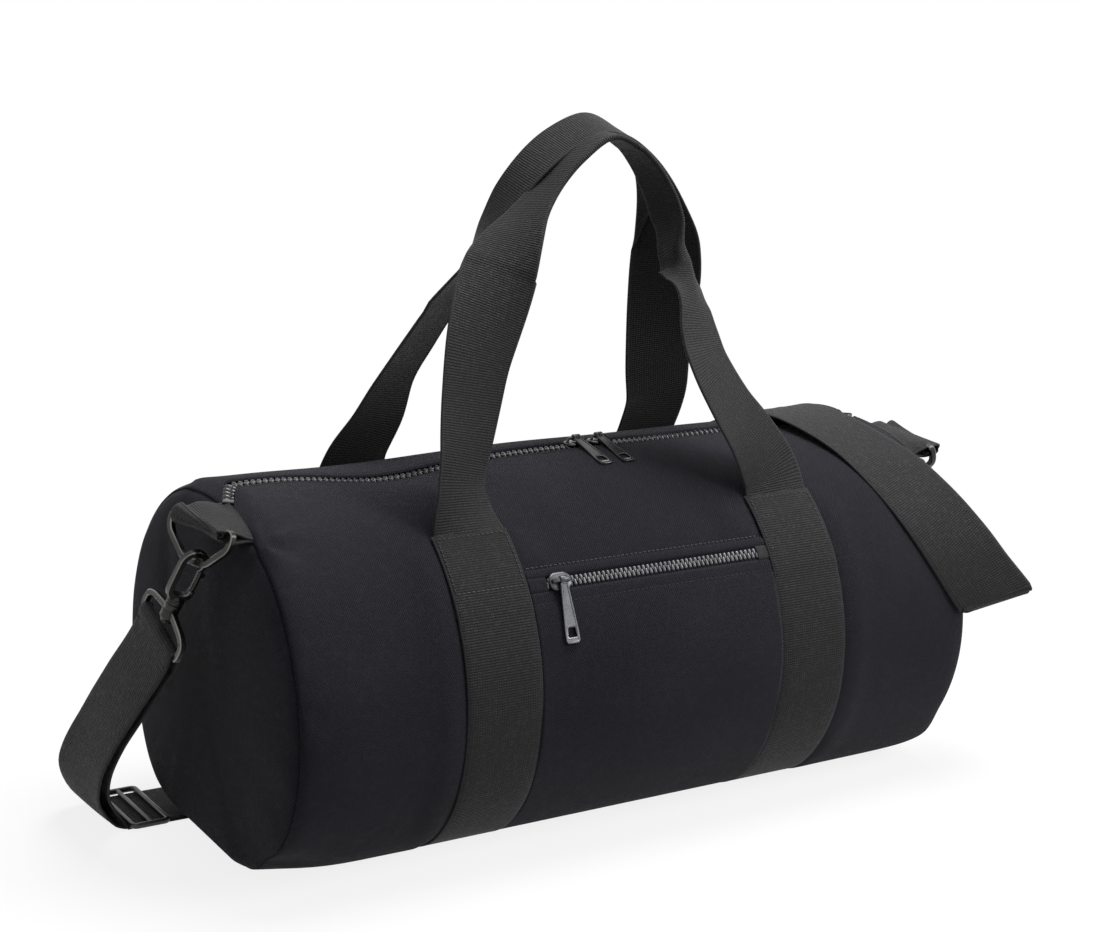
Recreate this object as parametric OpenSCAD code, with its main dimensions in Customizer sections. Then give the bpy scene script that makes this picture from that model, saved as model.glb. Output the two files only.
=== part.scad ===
// Barrel bag: a zipped fabric barrel with two webbing handles, a zipped front pocket
// and a wide shoulder strap clipped to a ring at each end.
// Millimetres. X runs along the barrel, -Y is the front and Z is up.
// The origin is the middle of the base, on the floor.
// An angle on the shell is measured at the barrel's axis from the top, positive to the front.

/* [Shell] */
// Length between the two end seams
seam_l = 484; // [476:2:492]
// Radius of the round upper half
belly_r = 124; // [122:1:126]
// Depth of the lower half, from the axis to the underside
belly_drop = 98; // [96:1:100]
// Width of the flat under the base
flat_w = 90; // [84:2:96]
// How far each end panel bulges out past its seam
end_crown = 8; // [6:1:10]
// Thickness of the shell fabric with its lining
wall = 2.4; // [2.2:0.1:2.6]

/* [Webbing] */
// Width of the webbing of handles, bands, tabs and strap
webbing_w = 50; // [46:1:50]
// Thickness of a band with the handle end sewn under it
band_t = 2.4; // [2.2:0.1:2.6]
// Thickness of one layer of strap webbing
strap_t = 1.6; // [1.2:0.1:1.8]
// Distance of the bands from the middle of the bag
band_x = 113; // [111:1:115]
// Angle where the bands start below the ridge
band_a = 37.5; // [36:0.5:39]
// Thickness of the folded grip of a handle
grip_t = 4.5; // [3.6:0.1:4.6]

/* [Zips] */
// Distance from one tooth to the next on the same tape
tooth_pitch = 4; // [3.6:0.2:5]
// Length of the zip pulls
pull_l = 38; // [30:1:38]
// Angle of the pocket zip on the front
pocket_a = 55.5; // [55:0.25:56]
// Half the length of the pocket opening
pocket_half = 84; // [78:1:84]

/* [Hardware] */
// Radius of the ring's round bars
ring_r = 2.1; // [1.8:0.1:2.2]
// Outward tilt of the hanging rings
ring_tilt = 14; // [12:1:16]
// Thickness of the hook plate
hook_t = 4.4; // [4:0.1:4.6]

/* [Hidden] */

fabric = "#1d1c22";
webbing = "#35363a";
metal = "#77777c";
light_metal = "#a4a4a8";

seam_x = seam_l / 2;
flat_h = flat_w / 2;
corner_w = belly_r - flat_h;
belly_z = band_t + belly_drop;
arc_step = 3;
// Layers on the shell lie this far apart, more than the sagitta of a step of their outlines
lay = 0.1;
half_w = webbing_w / 2;

// Main zip: the middle plane of its teeth lies below the shell's top
main_mid = -2;
main_end = seam_x - 4;
slot_h = 8;
tooth_h = 1.5;
tooth_l = 2;
tape_gap = 4.2;
channel = 0.7;
slider_l = 15;
left_slider_x = 9.5;
right_slider_x = 26.5;
bail_z = 6.6;
bail_r = 0.9;
pull_rest = 13;

// Pocket zip: its middle plane lies just above the shell
pocket_mid = 0.4;
pocket_slider_x = -66;
deg = 180 / (PI * belly_r);

// Handles turn about lines that lie just above the bands' upper edges
hinge_o = band_t + 1.2;
hinge_y = (belly_r + hinge_o) * sin(band_a);
hinge_z = belly_z + (belly_r + hinge_o) * cos(band_a);
leg_t = 1.8;
anchor_t = 1.2;
anchor_end = 62;

// Rings, hooks and loops
ring_turn = 12;
ring_pivot = [-seam_x - 20, -34, belly_z + 111.6];
ring_along = [sin(ring_turn), -cos(ring_turn), 0];
ring_down = [-sin(ring_tilt) * cos(ring_turn), -sin(ring_tilt) * sin(ring_turn), -cos(ring_tilt)];
ring_drop = 22;
left_eye = ring_pivot + ring_drop * ring_down;
right_eye = flip(left_eye);
left_hook_turn = [21, 16, 4];
right_hook_turn = [0, -22, 0];
right_loop_spin = 75;
eye_z = -1.5;
eye_r = 5.2;
pin_at = [6.6, -20];
stem_r = 2.2;
fit = 0.08;
bar_z = -50;
bar_r = 2;
wrap_r = bar_r + strap_t / 2 + 0.3;

function flip(p) = [-p[0], p[1], p[2]];
function unit(v) = v / norm(v);
function lerp(a, b, t) = a + (b - a) * t;

// Point of the section at offset o outside the shell and at angle a, as [y, z]
function sec(o, a) =
    let (side = a < 0 ? -1 : 1, b = abs(a))
    b <= 90
    ? [-side * (belly_r + o) * sin(b), belly_z + (belly_r + o) * cos(b)]
    : [-side * (flat_h + (corner_w + o) * cos(b - 90)), belly_z - (belly_drop + o) * sin(b - 90)];
function at(x, a, o) = let (p = sec(o, a)) [x, p[0], p[1]];

function arc_pts(o, a0, a1) =
    let (n = ceil(abs(a1 - a0) / arc_step))
    [for (i = [0:n]) sec(o, lerp(a0, a1, i / n))];
function reversed(p) = [for (i = [len(p) - 1:-1:0]) p[i]];
function outline(o) = concat(arc_pts(o, 0, 180), arc_pts(o, -180, -arc_step));
function under_pts(o, a) = concat(arc_pts(o, a, 180), arc_pts(o, -180, -a));

// Turns a vector by angles about X, then Y, then Z
function turned(v, r) =
    let (a = [v[0], v[1] * cos(r[0]) - v[2] * sin(r[0]), v[1] * sin(r[0]) + v[2] * cos(r[0])],
        b = [a[0] * cos(r[1]) + a[2] * sin(r[1]), a[1], a[2] * cos(r[1]) - a[0] * sin(r[1])])
    [b[0] * cos(r[2]) - b[1] * sin(r[2]), b[0] * sin(r[2]) + b[1] * cos(r[2]), b[2]];

// A ribbon station is [x, y, z, across x, across y, across z, half width, half thickness]
function station(p, w, wide, thick) = concat(p, unit(w), [wide / 2, thick / 2]);
function spline(a, b, c, d, t) =
    (2 * b + (c - a) * t + (2 * a - 5 * b + 4 * c - d) * t * t
        + (3 * b - a - 3 * c + d) * t * t * t) / 2;
function smooth(s, n) = concat(
    [for (i = [0:len(s) - 2], j = [0:n - 1])
        spline(s[max(i - 1, 0)], s[i], s[i + 1], s[min(i + 2, len(s) - 1)], j / n)],
    [s[len(s) - 1]]);
function place(s) = [s[0], s[1], s[2]];
function heading(s, i) = unit(place(s[min(i + 1, len(s) - 1)]) - place(s[max(i - 1, 0)]));
// The width is turned square to the path, but both ends keep their own
function ring_pts(s, i) =
    let (c = place(s[i]), t = heading(s, i), raw = [s[i][3], s[i][4], s[i][5]],
        square = i == 0 || i == len(s) - 1 ? raw : unit(raw - (raw * t) * t),
        w = square * s[i][6], n = unit(cross(t, w)) * s[i][7])
    [c + w + n, c - w + n, c - w - n, c + w - n];

module ribbon(stations) {
    n = len(stations);
    points = [for (i = [0:n - 1]) each ring_pts(stations, i)];
    sides = [for (i = [0:n - 2], k = [0:3]) let (a = i * 4 + k, b = i * 4 + (k + 1) % 4)
        each [[a, b + 4, b], [a, a + 4, b + 4]]];
    e = (n - 1) * 4;
    ends = [[0, 1, 2], [0, 2, 3], [e, e + 2, e + 1], [e, e + 3, e + 2]];
    polyhedron(points, concat(sides, ends));
}

module along_x(x0, x1) {
    translate([x0, 0, 0]) rotate([90, 0, 90]) linear_extrude(x1 - x0) children();
}

module strip(o0, o1, a0, a1) {
    polygon(concat(arc_pts(o1, a0, a1), reversed(arc_pts(o0, a0, a1))));
}

module under_strip(o0, o1, a) {
    polygon(concat(under_pts(o1, a), reversed(under_pts(o0, a))));
}

// Local frame on the front of the shell: y runs up the surface and z points out of it
module on_front(a) {
    translate([0, sec(0, a)[0], sec(0, a)[1]]) rotate([a, 0, 0]) children();
}

module flipped() {
    mirror([1, 0, 0]) children();
}

module body_panel() {
    color(fabric) difference() {
        along_x(-seam_x, seam_x) difference() {
            polygon(outline(0));
            polygon(outline(-wall));
        }
        translate([-main_end, -slot_h, belly_z + belly_r - 12]) cube([main_end * 2, slot_h * 2, 20]);
        along_x(-pocket_half, pocket_half) strip(-6, 4, pocket_a - 3, pocket_a + 3);
    }
}

// The panel's outer face rises from the seam to the crown as the root of one less the cubed scale
module end_panel() {
    scales = [1, 0.96, 0.88, 0.74, 0.52, 0.26];
    rim = [for (i = [0:2:len(outline(0)) - 1]) outline(0)[i]];
    n = len(rim);
    m = len(scales);
    mid_z = belly_z + (belly_r - belly_drop) / 2;
    inner = 1 - wall / belly_r;
    function ring(s, crown, k) = [for (p = rim)
        [seam_x + crown * sqrt(1 - pow(s, 3)), p[0] * s * k, mid_z + (p[1] - mid_z) * s * k]];
    points = concat(
        [for (s = scales) each ring(s, end_crown, 1)],
        [for (s = scales) each ring(s, end_crown - wall, inner)],
        [[seam_x + end_crown, 0, mid_z], [seam_x + end_crown - wall, 0, mid_z]]);
    outer = [for (k = [0:m - 2], i = [0:n - 1]) let (j = (i + 1) % n)
        each [[k * n + i, k * n + n + j, k * n + j], [k * n + i, k * n + n + i, k * n + n + j]]];
    inside = [for (f = outer) [f[0] + m * n, f[2] + m * n, f[1] + m * n]];
    tip = [for (i = [0:n - 1]) [(m - 1) * n + (i + 1) % n, (m - 1) * n + i, 2 * m * n]];
    tip_in = [for (i = [0:n - 1])
        [(2 * m - 1) * n + i, (2 * m - 1) * n + (i + 1) % n, 2 * m * n + 1]];
    edge = [for (i = [0:n - 1]) let (j = (i + 1) % n)
        each [[i, j, m * n + i], [j, m * n + j, m * n + i]]];
    color(fabric) polyhedron(points, concat(outer, inside, tip, tip_in, edge));
}

module left_end_panel() {
    flipped() end_panel();
}

module right_end_panel() {
    end_panel();
}

module seam_binding() {
    color(webbing) along_x(seam_x - 10, seam_x) under_strip(-wall - 1.5, -wall - lay, 10);
}

module left_seam_binding() {
    flipped() seam_binding();
}

module right_seam_binding() {
    seam_binding();
}

module main_tape(side) {
    color(webbing) along_x(-seam_x + 2, seam_x - 2)
        strip(-wall - 1, -wall - lay, side * (tape_gap * deg * 1.03), side * 9.3);
}

module main_zip_front_tape() {
    main_tape(1);
}

module main_zip_rear_tape() {
    main_tape(-1);
}

// A comb of teeth on a bead, on the +Y side of the zip's middle line
module comb(from_x, to_x, shift) {
    for (x = [from_x + shift:tooth_pitch:to_x - tooth_l])
        translate([x, channel, -tooth_h]) cube([tooth_l, tape_gap - channel, tooth_h * 2]);
    translate([from_x, tape_gap - 1.2, -0.6]) cube([to_x - from_x, 1.2, 1.2]);
}

module main_zip_front_teeth() {
    color(metal) translate([0, 0, belly_z + belly_r + main_mid]) mirror([0, 1, 0])
        comb(-main_end + 4, main_end - 4, 0);
}

module main_zip_rear_teeth() {
    color(metal) translate([0, 0, belly_z + belly_r + main_mid])
        comb(-main_end + 4, main_end - 4, tooth_pitch / 2);
}

module stops(end_x, h) {
    for (side = [-1, 1])
        translate([side * end_x - 1.25, -3.6, -h]) cube([2.5, 7.2, h * 2]);
}

module main_zip_stops() {
    color(metal) translate([0, 0, belly_z + belly_r + main_mid]) stops(main_end - 2.5, 1.6);
}

module slider() {
    front = slider_l / 2;
    plan = [[-front, -4], [-5, -5.6], [4, -5.6], [front, -3], [front, 3], [4, 5.6], [-5, 5.6],
        [-front, 4]];
    translate([0, 0, 2.4]) linear_extrude(1.4) polygon(plan);
    translate([0, 0, -3.5]) linear_extrude(1.4) polygon(plan);
    translate([front - 5, -0.35, -2.6]) cube([3, 0.7, 5.6]);
    for (x = [-5.8, 4.2])
        translate([x, -bail_r, 3.4]) cube([1.6, bail_r * 2, bail_z - 3.4 + bail_r]);
    translate([-5, 0, bail_z]) rotate([0, 90, 0]) cylinder(r = bail_r, h = 10, $fn = 24);
}

// A flat pull that points to -Y from the bar it hangs on
module pull() {
    difference() {
        union() {
            rotate([0, 90, 0]) cylinder(r = 2.1, h = 6, center = true, $fn = 32);
            translate([0, 0, -0.8]) linear_extrude(1.6) polygon([[-3, -1], [3, -1], [3, -4],
                [4.5, -7], [4.5, 3 - pull_l], [3, -pull_l], [-3, -pull_l], [-4.5, 3 - pull_l],
                [-4.5, -7], [-3, -4]]);
        }
        rotate([0, 90, 0]) cylinder(r = bail_r + fit, h = 20, center = true, $fn = 32);
        translate([-2.4, 5.5 - pull_l, -3]) cube([4.8, 7, 6]);
    }
}

module main_place(x) {
    translate([x, 0, belly_z + belly_r + main_mid]) children();
}

module main_slider_left() {
    color(metal) main_place(left_slider_x) slider();
}

module main_slider_right() {
    color(metal) main_place(right_slider_x) mirror([1, 0, 0]) slider();
}

module main_pull_left() {
    color(light_metal) main_place(left_slider_x) translate([0, 0, bail_z])
        rotate([pull_rest, 0, 0]) pull();
}

module main_pull_right() {
    color(light_metal) main_place(right_slider_x) translate([0, 0, bail_z])
        rotate([pull_rest, 0, 0]) pull();
}

// The panel lies over the zip tape at its upper edge and goes on round the base to the rear
module pocket_panel() {
    x = band_x - half_w - 0.05;
    color(fabric) {
        along_x(-x, x) strip(0.8 + lay, band_t, pocket_a + 2.1, pocket_a + 5);
        along_x(-x, x) polygon(concat(
            arc_pts(band_t, pocket_a + 4.4, 180), [sec(band_t, -180)],
            [sec(lay, -180)], reversed(arc_pts(lay, pocket_a + 4.4, 180))));
    }
}

module pocket_top_strip() {
    x = band_x - half_w - 0.05;
    color(fabric) along_x(-x, x) strip(0.8 + lay, band_t, pocket_a - 6.5, pocket_a - 2.1);
}

module pocket_lining() {
    x = pocket_half + 2;
    first = pocket_a - 7.5;
    last = 110;
    color(webbing) {
        along_x(-x, x) strip(-wall - 2.2, -wall - 1.2, first, last);
        along_x(-x, x) strip(-wall - 1.3, -wall - lay, first, first + 1);
        along_x(-x, x) strip(-wall - 1.3, -wall - lay, last - 1, last);
        along_x(-x, 1.5 - x) strip(-wall - 1.3, -wall - lay, first, last);
        along_x(x - 1.5, x) strip(-wall - 1.3, -wall - lay, first, last);
    }
}

module pocket_tape(side) {
    x = pocket_half + 3;
    color(webbing) along_x(-x, x)
        strip(lay, 0.8, pocket_a + side * tape_gap * deg, pocket_a + side * 4.3);
}

module pocket_zip_upper_tape() {
    pocket_tape(-1);
}

module pocket_zip_lower_tape() {
    pocket_tape(1);
}

module pocket_place() {
    on_front(pocket_a) translate([0, 0, pocket_mid]) children();
}

module pocket_zip_upper_teeth() {
    color(light_metal) pocket_place() comb(-pocket_half + 4, pocket_half - 4, 0);
}

module pocket_zip_lower_teeth() {
    color(light_metal) pocket_place() mirror([0, 1, 0])
        comb(-pocket_half + 4, pocket_half - 4, tooth_pitch / 2);
}

module pocket_zip_stops() {
    color(light_metal) pocket_place() stops(pocket_half - 2.5, 1.6);
}

module pocket_slider() {
    color(light_metal) pocket_place() translate([pocket_slider_x, 0, 0]) slider();
}

module pocket_pull() {
    color(light_metal) pocket_place() translate([pocket_slider_x, 0, bail_z])
        rotate([pull_rest, 0, 0]) pull();
}

// A band round the belly, with a recess at each upper end for the handle sewn under it
module band(x) {
    color(webbing) along_x(x - half_w, x + half_w) difference() {
        under_strip(lay, band_t, band_a);
        strip(-1, anchor_t + lay, band_a - 1, anchor_end);
        strip(-1, anchor_t + lay, 1 - band_a, -anchor_end);
    }
}

module left_band() {
    band(-band_x);
}

module right_band() {
    band(band_x);
}

module anchors(side) {
    color(webbing) for (x = [-band_x, band_x])
        along_x(x - half_w, x + half_w) strip(lay, anchor_t, side * band_a, side * anchor_end);
}

module front_handle_anchors() {
    anchors(1);
}

module rear_handle_anchors() {
    anchors(-1);
}

// Handle routes: [x, distance in from the hinge line, height above it, turn of the width, width]
// At a turn of 0 the width runs along X, at 90 it runs from rear to front.
leg_start = [0.5, 1.2];
front_route = [[-band_x, leg_start[0], leg_start[1], 0, webbing_w], [-113, 7, 11, -16, 44],
    [-112, 12, 28, -26, 44], [-107, 16, 50, -20, 46], [-102, 20, 74, -12, 46], [-96, 24, 100, -4, 46],
    [-86, 31, 124, 6, 46], [-74, 40, 145, 22, 44], [-60, 49, 162, 48, 38], [-44, 58, 176, 75, 30],
    [-27, 65, 190, 88, 26], [-8, 68, 207, 90, 26], [14, 69, 220, 90, 26], [32, 69, 214, 84, 26],
    [46, 68, 200, 76, 26], [56, 65, 182, 70, 28], [62, 60, 160, 80, 30], [63, 52, 144, 120, 34],
    [62, 42, 126, 146, 42], [64, 32, 104, 152, 46], [73, 23, 79, 154, 46], [86, 16, 54, 158, 46],
    [100, 11, 33, 166, 46], [111, 6, 12, 176, 46],
    [band_x, leg_start[0], leg_start[1], 180, webbing_w]];
rear_route = [[-band_x, leg_start[0], leg_start[1], 180, webbing_w], [-111, 8, 14, 174, 46],
    [-101, 15, 36, 164, 46], [-92, 21, 62, 152, 46], [-79, 29, 88, 142, 44], [-67, 39, 114, 128, 40],
    [-58, 50, 140, 108, 32], [-50, 61, 164, 95, 28], [-40, 67, 187, 90, 26], [-25, 70, 207, 90, 26],
    [-6, 70, 222, 90, 26], [16, 70, 230, 90, 26], [34, 70, 225, 88, 26], [50, 69, 213, 84, 26],
    [64, 67, 196, 78, 28], [76, 63, 175, 66, 34], [88, 55, 150, 48, 42], [96, 45, 122, 30, 46],
    [103, 33, 92, 18, 46], [109, 23, 60, 8, 46], [115, 15, 34, 2, 46], [114, 8, 13, 0, 46],
    [band_x, leg_start[0], leg_start[1], 0, webbing_w]];
flat_from = 44;
folded_at = 30;
function handle_t(w) =
    lerp(grip_t, leg_t, min(1, max(0, (w - folded_at) / (flat_from - folded_at))));
function handle_station(r, side) = station(
    [r[0], side * (hinge_y - r[1]), hinge_z + r[2]],
    [cos(r[3]), -sin(r[3]), 0], r[4], handle_t(r[4]));

module front_handle() {
    color(webbing) ribbon(smooth([for (r = front_route) handle_station(r, -1)], 2));
}

module rear_handle() {
    color(webbing) ribbon(smooth([for (r = rear_route) handle_station(r, 1)], 2));
}

module ring_place() {
    translate(ring_pivot) rotate([0, 0, ring_turn - 90]) children();
}

// Webbing folded round the ring's upper bar, with both layers sewn into the end seam
module tab() {
    sewn = at(-seam_x + 0.5, 17.5, 2.3);
    start = lerp(ring_pivot, sewn, 0.15);
    middle = lerp(ring_pivot, sewn, 0.6) + [0, 0, 1.2];
    along = -ring_along;
    seam_dir = [0, cos(17.5), sin(17.5)];
    color(webbing) difference() {
        union() {
            ring_place() rotate([0, 90, 0])
                cylinder(r = 4.4, h = webbing_w, center = true, $fn = 48);
            ribbon([station(start, along, webbing_w - 4, 3.2),
                station(middle, along + seam_dir, webbing_w - 0.4, 3.2),
                station(sewn, seam_dir, webbing_w - 0.4, 3.2)]);
        }
        ring_place() rotate([0, 90, 0]) cylinder(r = ring_r + 0.1 + fit, h = 80, center = true, $fn = 48);
    }
}

module left_tab() {
    tab();
}

module right_tab() {
    flipped() tab();
}

module rod(p, q, r) {
    v = q - p;
    translate(p) rotate([0, acos(v[2] / norm(v)), atan2(v[1], v[0])])
        cylinder(r = r, h = norm(v), $fn = 32);
}

// Ring of round bar: a wide upper bar, square shoulders and sides that slant to a short lower bar
module ring() {
    color(metal) ring_place() rotate([-ring_tilt, 0, 0]) {
        rod([-28, 0, 0], [28, 0, 0], ring_r + 0.1);
        rod([-10, 0, -ring_drop], [10, 0, -ring_drop], ring_r);
        for (side = [-1, 1]) {
            rod([side * 10, 0, -ring_drop], [side * 28, 0, -7.7], ring_r);
            translate([side * 10, 0, -ring_drop]) sphere(r = ring_r + 0.25, $fn = 32);
            translate([side * 28.5 - 2.5, -2.6, -9.5]) cube([5, 5.2, 12.1]);
        }
    }
}

module left_ring() {
    ring();
}

module right_ring() {
    flipped() ring();
}

module left_hook_place() {
    translate(left_eye) rotate(left_hook_turn) children();
}

module right_hook_place() {
    translate(right_eye) rotate(right_hook_turn) children();
}

module plate(t) {
    rotate([90, 0, 0]) translate([0, 0, -t / 2]) linear_extrude(t) children();
}

// Snap hook that hangs from its eye at the origin, with the gate on its +X side
module hook() {
    color(metal) {
        difference() {
            plate(hook_t) union() {
                translate([0, eye_z]) circle(r = eye_r + 4, $fn = 64);
                translate([-9.2, -26]) square([18.4, 24.5]);
            }
            plate(20) union() {
                translate([0, eye_z]) circle(r = eye_r, $fn = 64);
                translate([-4.6, -22]) square([9.2, 22 + eye_z]);
                translate([4.3, -17.6]) square([12, 12]);
            }
            plate(3.6) translate([4.2, -22.5]) square([12, 8]);
        }
        translate([pin_at[0], 0, pin_at[1]]) rotate([90, 0, 0])
            cylinder(r = 0.8, h = hook_t, center = true, $fn = 32);
        translate([0, 0, -28.6]) cylinder(r = 5, h = 3, $fn = 48);
        translate([0, 0, -42]) cylinder(r = stem_r, h = 14, $fn = 48);
        translate([0, 0, -42]) cylinder(r = 3.4, h = 1.7, $fn = 48);
    }
}

module left_hook() {
    left_hook_place() hook();
}

module right_hook() {
    right_hook_place() hook();
}

module gate() {
    pin = [pin_at[0], 0, pin_at[1]];
    color(light_metal) difference() {
        union() {
            plate(3) translate([4.8, pin_at[1]]) square([3.6, -6 - pin_at[1]]);
            translate(pin) rotate([90, 0, 0]) cylinder(r = 1.8, h = 3, center = true, $fn = 32);
        }
        translate(pin) rotate([90, 0, 0]) cylinder(r = 0.8 + fit, h = 9, center = true, $fn = 32);
        translate(pin) rotate([90, 0, 0]) cylinder(r = 2.2, h = 1.5, center = true, $fn = 32);
    }
}

module left_gate() {
    left_hook_place() gate();
}

module right_gate() {
    right_hook_place() gate();
}

module gate_spring() {
    color(light_metal) translate([pin_at[0], 0, pin_at[1]]) rotate([90, 0, 0]) difference() {
        cylinder(r = 1.6, h = 0.8, center = true, $fn = 32);
        cylinder(r = 0.9, h = 2, center = true, $fn = 32);
    }
}

module left_gate_spring() {
    left_hook_place() gate_spring();
}

module right_gate_spring() {
    right_hook_place() gate_spring();
}

// Loop for the strap: a boss round the hook's stem, sloping shoulders and a round lower bar
module swivel_loop() {
    slot = 25.5;
    color(metal) difference() {
        union() {
            rotate([0, 0, 90]) plate(4) difference() {
                polygon([[-5, -32], [5, -32], [14, -35.5], [26, -36], [29.3, -39], [29.3, -50],
                    [27.5, -52], [-27.5, -52], [-29.3, -50], [-29.3, -39], [-26, -36], [-14, -35.5]]);
                translate([-slot, -55]) square([slot * 2, 15]);
            }
            translate([0, 0, -40]) cylinder(r = 5, h = 11, $fn = 48);
            translate([0, 0, bar_z]) rotate([90, 0, 0])
                cylinder(r = bar_r, h = slot * 2 + 2, center = true, $fn = 32);
        }
        translate([0, 0, -44]) cylinder(r = stem_r + fit, h = 20, $fn = 48);
    }
}

module left_swivel_loop() {
    left_hook_place() swivel_loop();
}

module right_swivel_loop() {
    right_hook_place() rotate([0, 0, right_loop_spin]) swivel_loop();
}

// Stations of a strap that turns round the loop's lower bar, from one side over the top to the other
function wrap(eye, turn, spin, from_a, to_a, n) =
    let (w = turned([-sin(spin), cos(spin), 0], turn), side = turned([cos(spin), sin(spin), 0], turn),
        up = turned([0, 0, 1], turn), bar = eye + bar_z * up)
    [for (i = [0:n]) let (a = lerp(from_a, to_a, i / n))
        station(bar + wrap_r * (cos(a) * side + sin(a) * up), w, webbing_w, strap_t)];
function strap_at(p, w) = station(p, w, webbing_w, strap_t);
function left_pt(p) = [p[0] - seam_x, p[1], p[2]];
function right_pt(p) = [p[0] + seam_x, p[1], p[2]];

// Adjuster and strap on the floor at the left; x is measured from the left end seam
lane_y = 67;
lane_z = strap_t / 2 + 0.2;
adjuster_x = -22;
adjuster_half = 13;

inner_strand = [[[-36, lane_y, 4.2], [0, 1, 0]], [[-41, lane_y, 8], [0, 1, -0.05]],
    [[-48, 64, 19], [0, 1, -0.15]], [[-54, 54, 36], [0, 1, -0.18]], [[-56, 39, 56], [0, 1, -0.1]],
    [[-53, 24, 79], [0, 1, 0]], [[-47, 8, 103], [0, 1, 0.12]], [[-41, -5, 124], [0.02, 1, 0.25]],
    [[-37, -14, 138], [0.04, 1, 0.34]]];
outer_strand = [[[-43, -16, 140], [0.04, 1, 0.35]], [[-47, -8, 126], [0.03, 1, 0.27]],
    [[-54, 6, 104], [0, 1, 0.14]], [[-60, 22, 80], [0, 1, 0]], [[-63, 38, 56], [0, 1, -0.1]],
    [[-61, 54, 34], [0, 1, -0.18]], [[-54, 65, 16], [0, 1, -0.12]],
    [[-45, lane_y, 4.5], [0, 1, -0.03]], [[-36, lane_y, lane_z], [0, 1, 0]]];

module left_strap_end() {
    color(webbing) ribbon(concat(
        smooth([for (s = inner_strand) strap_at(left_pt(s[0]), s[1])], 2),
        wrap(left_eye, left_hook_turn, 0, 0, 180, 6),
        smooth([for (s = outer_strand) strap_at(left_pt(s[0]), s[1])], 2)));
}

// The floor run keeps its own x, the climb up the rear and over the ridge follows the shell
floor_run = [[-180, 82], [-150, 100], [-110, 120], [-60, 138], [0, 148], [50, 152], [88, 153],
    [100, 153]];
rise = [[[108, 153, 2.6], [0.1, 1, 0.02]], [[122, 154, 8], [0.4, 1, 0.1]],
    [[150, 150, 24], [0.8, 0.6, 0.2]], [[168, 144, 50], [1, 0.2, 0]], [[176, 136, 78], [1, 0.05, 0]]];
climb = [[180, -90, 3, [1, 0, 0]], [180, -76, 2.2, [1, 0, 0]], [180, -62, 2.2, [1, 0, 0]],
    [180, -48, 2.4, [1, 0, 0]], [180, -34, 2.6, [1, 0.05, 0]], [181, -22, 3.2, [1, 0.35, -0.1]],
    [181, -13, 4.5, [1, 0.5, -0.15]], [186, -2, 6.4, [1, 0.5, 0]], [192, 10, 5.4, [1, 0.45, 0.1]],
    [203, 23, 3.2, [1, 0.35, 0.15]], [213, 36.5, 3.6, [1, 0.2, 0.26]], [223, 49.5, 5.3, [1, 0.05, 0.28]],
    [236, 62, 6.2, [1, -0.08, 0.27]], [249, 72, 6.8, [1, -0.14, 0.26]], [261, 79.5, 8.6, [1, -0.2, 0.28]]];

module shoulder_strap() {
    lane = [[-277.7 + seam_x, 0], [-255 + seam_x, 0], [-230 + seam_x, 0], [-212 + seam_x, 3]];
    color(webbing) ribbon(smooth(concat(
        [for (p = lane) strap_at([p[0] - seam_x, lane_y + p[1], lane_z], [0, 1, 0])],
        [for (p = floor_run) strap_at([p[0], p[1], lane_z], [0, 1, 0])],
        [for (s = rise) strap_at(s[0], s[1])],
        [for (c = climb) strap_at(at(c[0], c[1], c[2]), c[3])]), 2));
}

// From the crease at the front the strap turns back under itself to the right loop
return_run = [[[23.3, -129.3, 125.1], [1, -0.2, 0.28], 42], [[26.5, -125.5, 119], [0.93, -0.3, 0.3], 43],
    [[31, -117, 116.5], [0.92, -0.27, 0.32], 45], [[34.5, -106.6, 116.8], [0.9, -0.26, 0.34], 47],
    [[38.6, -91.1, 117.4], [0.9, -0.26, 0.36], 49], [[42.5, -75.7, 118.9], [0.9, -0.26, 0.36], 50],
    [[45.9, -60.2, 121.4], [0.9, -0.26, 0.36], 50], [[48.2, -46.7, 125.6], [0.9, -0.26, 0.36], 50],
    [[47.5, -39, 132.8], [0.9, -0.26, 0.36], 50]];
sewn_tail = [[46.7, -33, 138.9], [48.1, -36.8, 132.7], [49.2, -45.3, 124], [46.9, -59.3, 119.6]];
tail_across = [0.9, -0.26, 0.36];

module right_strap_end() {
    color(webbing) ribbon(concat(
        smooth([for (s = return_run) station(right_pt(s[0]), s[1], s[2], strap_t)], 2),
        wrap(right_eye, right_hook_turn, right_loop_spin - 180, 0, 180, 6),
        smooth([for (p = sewn_tail) strap_at(right_pt(p), tail_across)], 2)));
}

module strap_adjuster() {
    x = -seam_x + adjuster_x;
    color(metal) translate([x, lane_y, 0]) {
        for (side = [-1, 1])
            translate([-adjuster_half, side * 28.5 - 2.5, 0.3]) cube([adjuster_half * 2, 5, 4.7]);
        for (bar = [-adjuster_half, -1.5, adjuster_half - 3])
            translate([bar, -27, strap_t + 0.8]) cube([3, 54, 5 - strap_t - 0.8]);
    }
}

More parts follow.
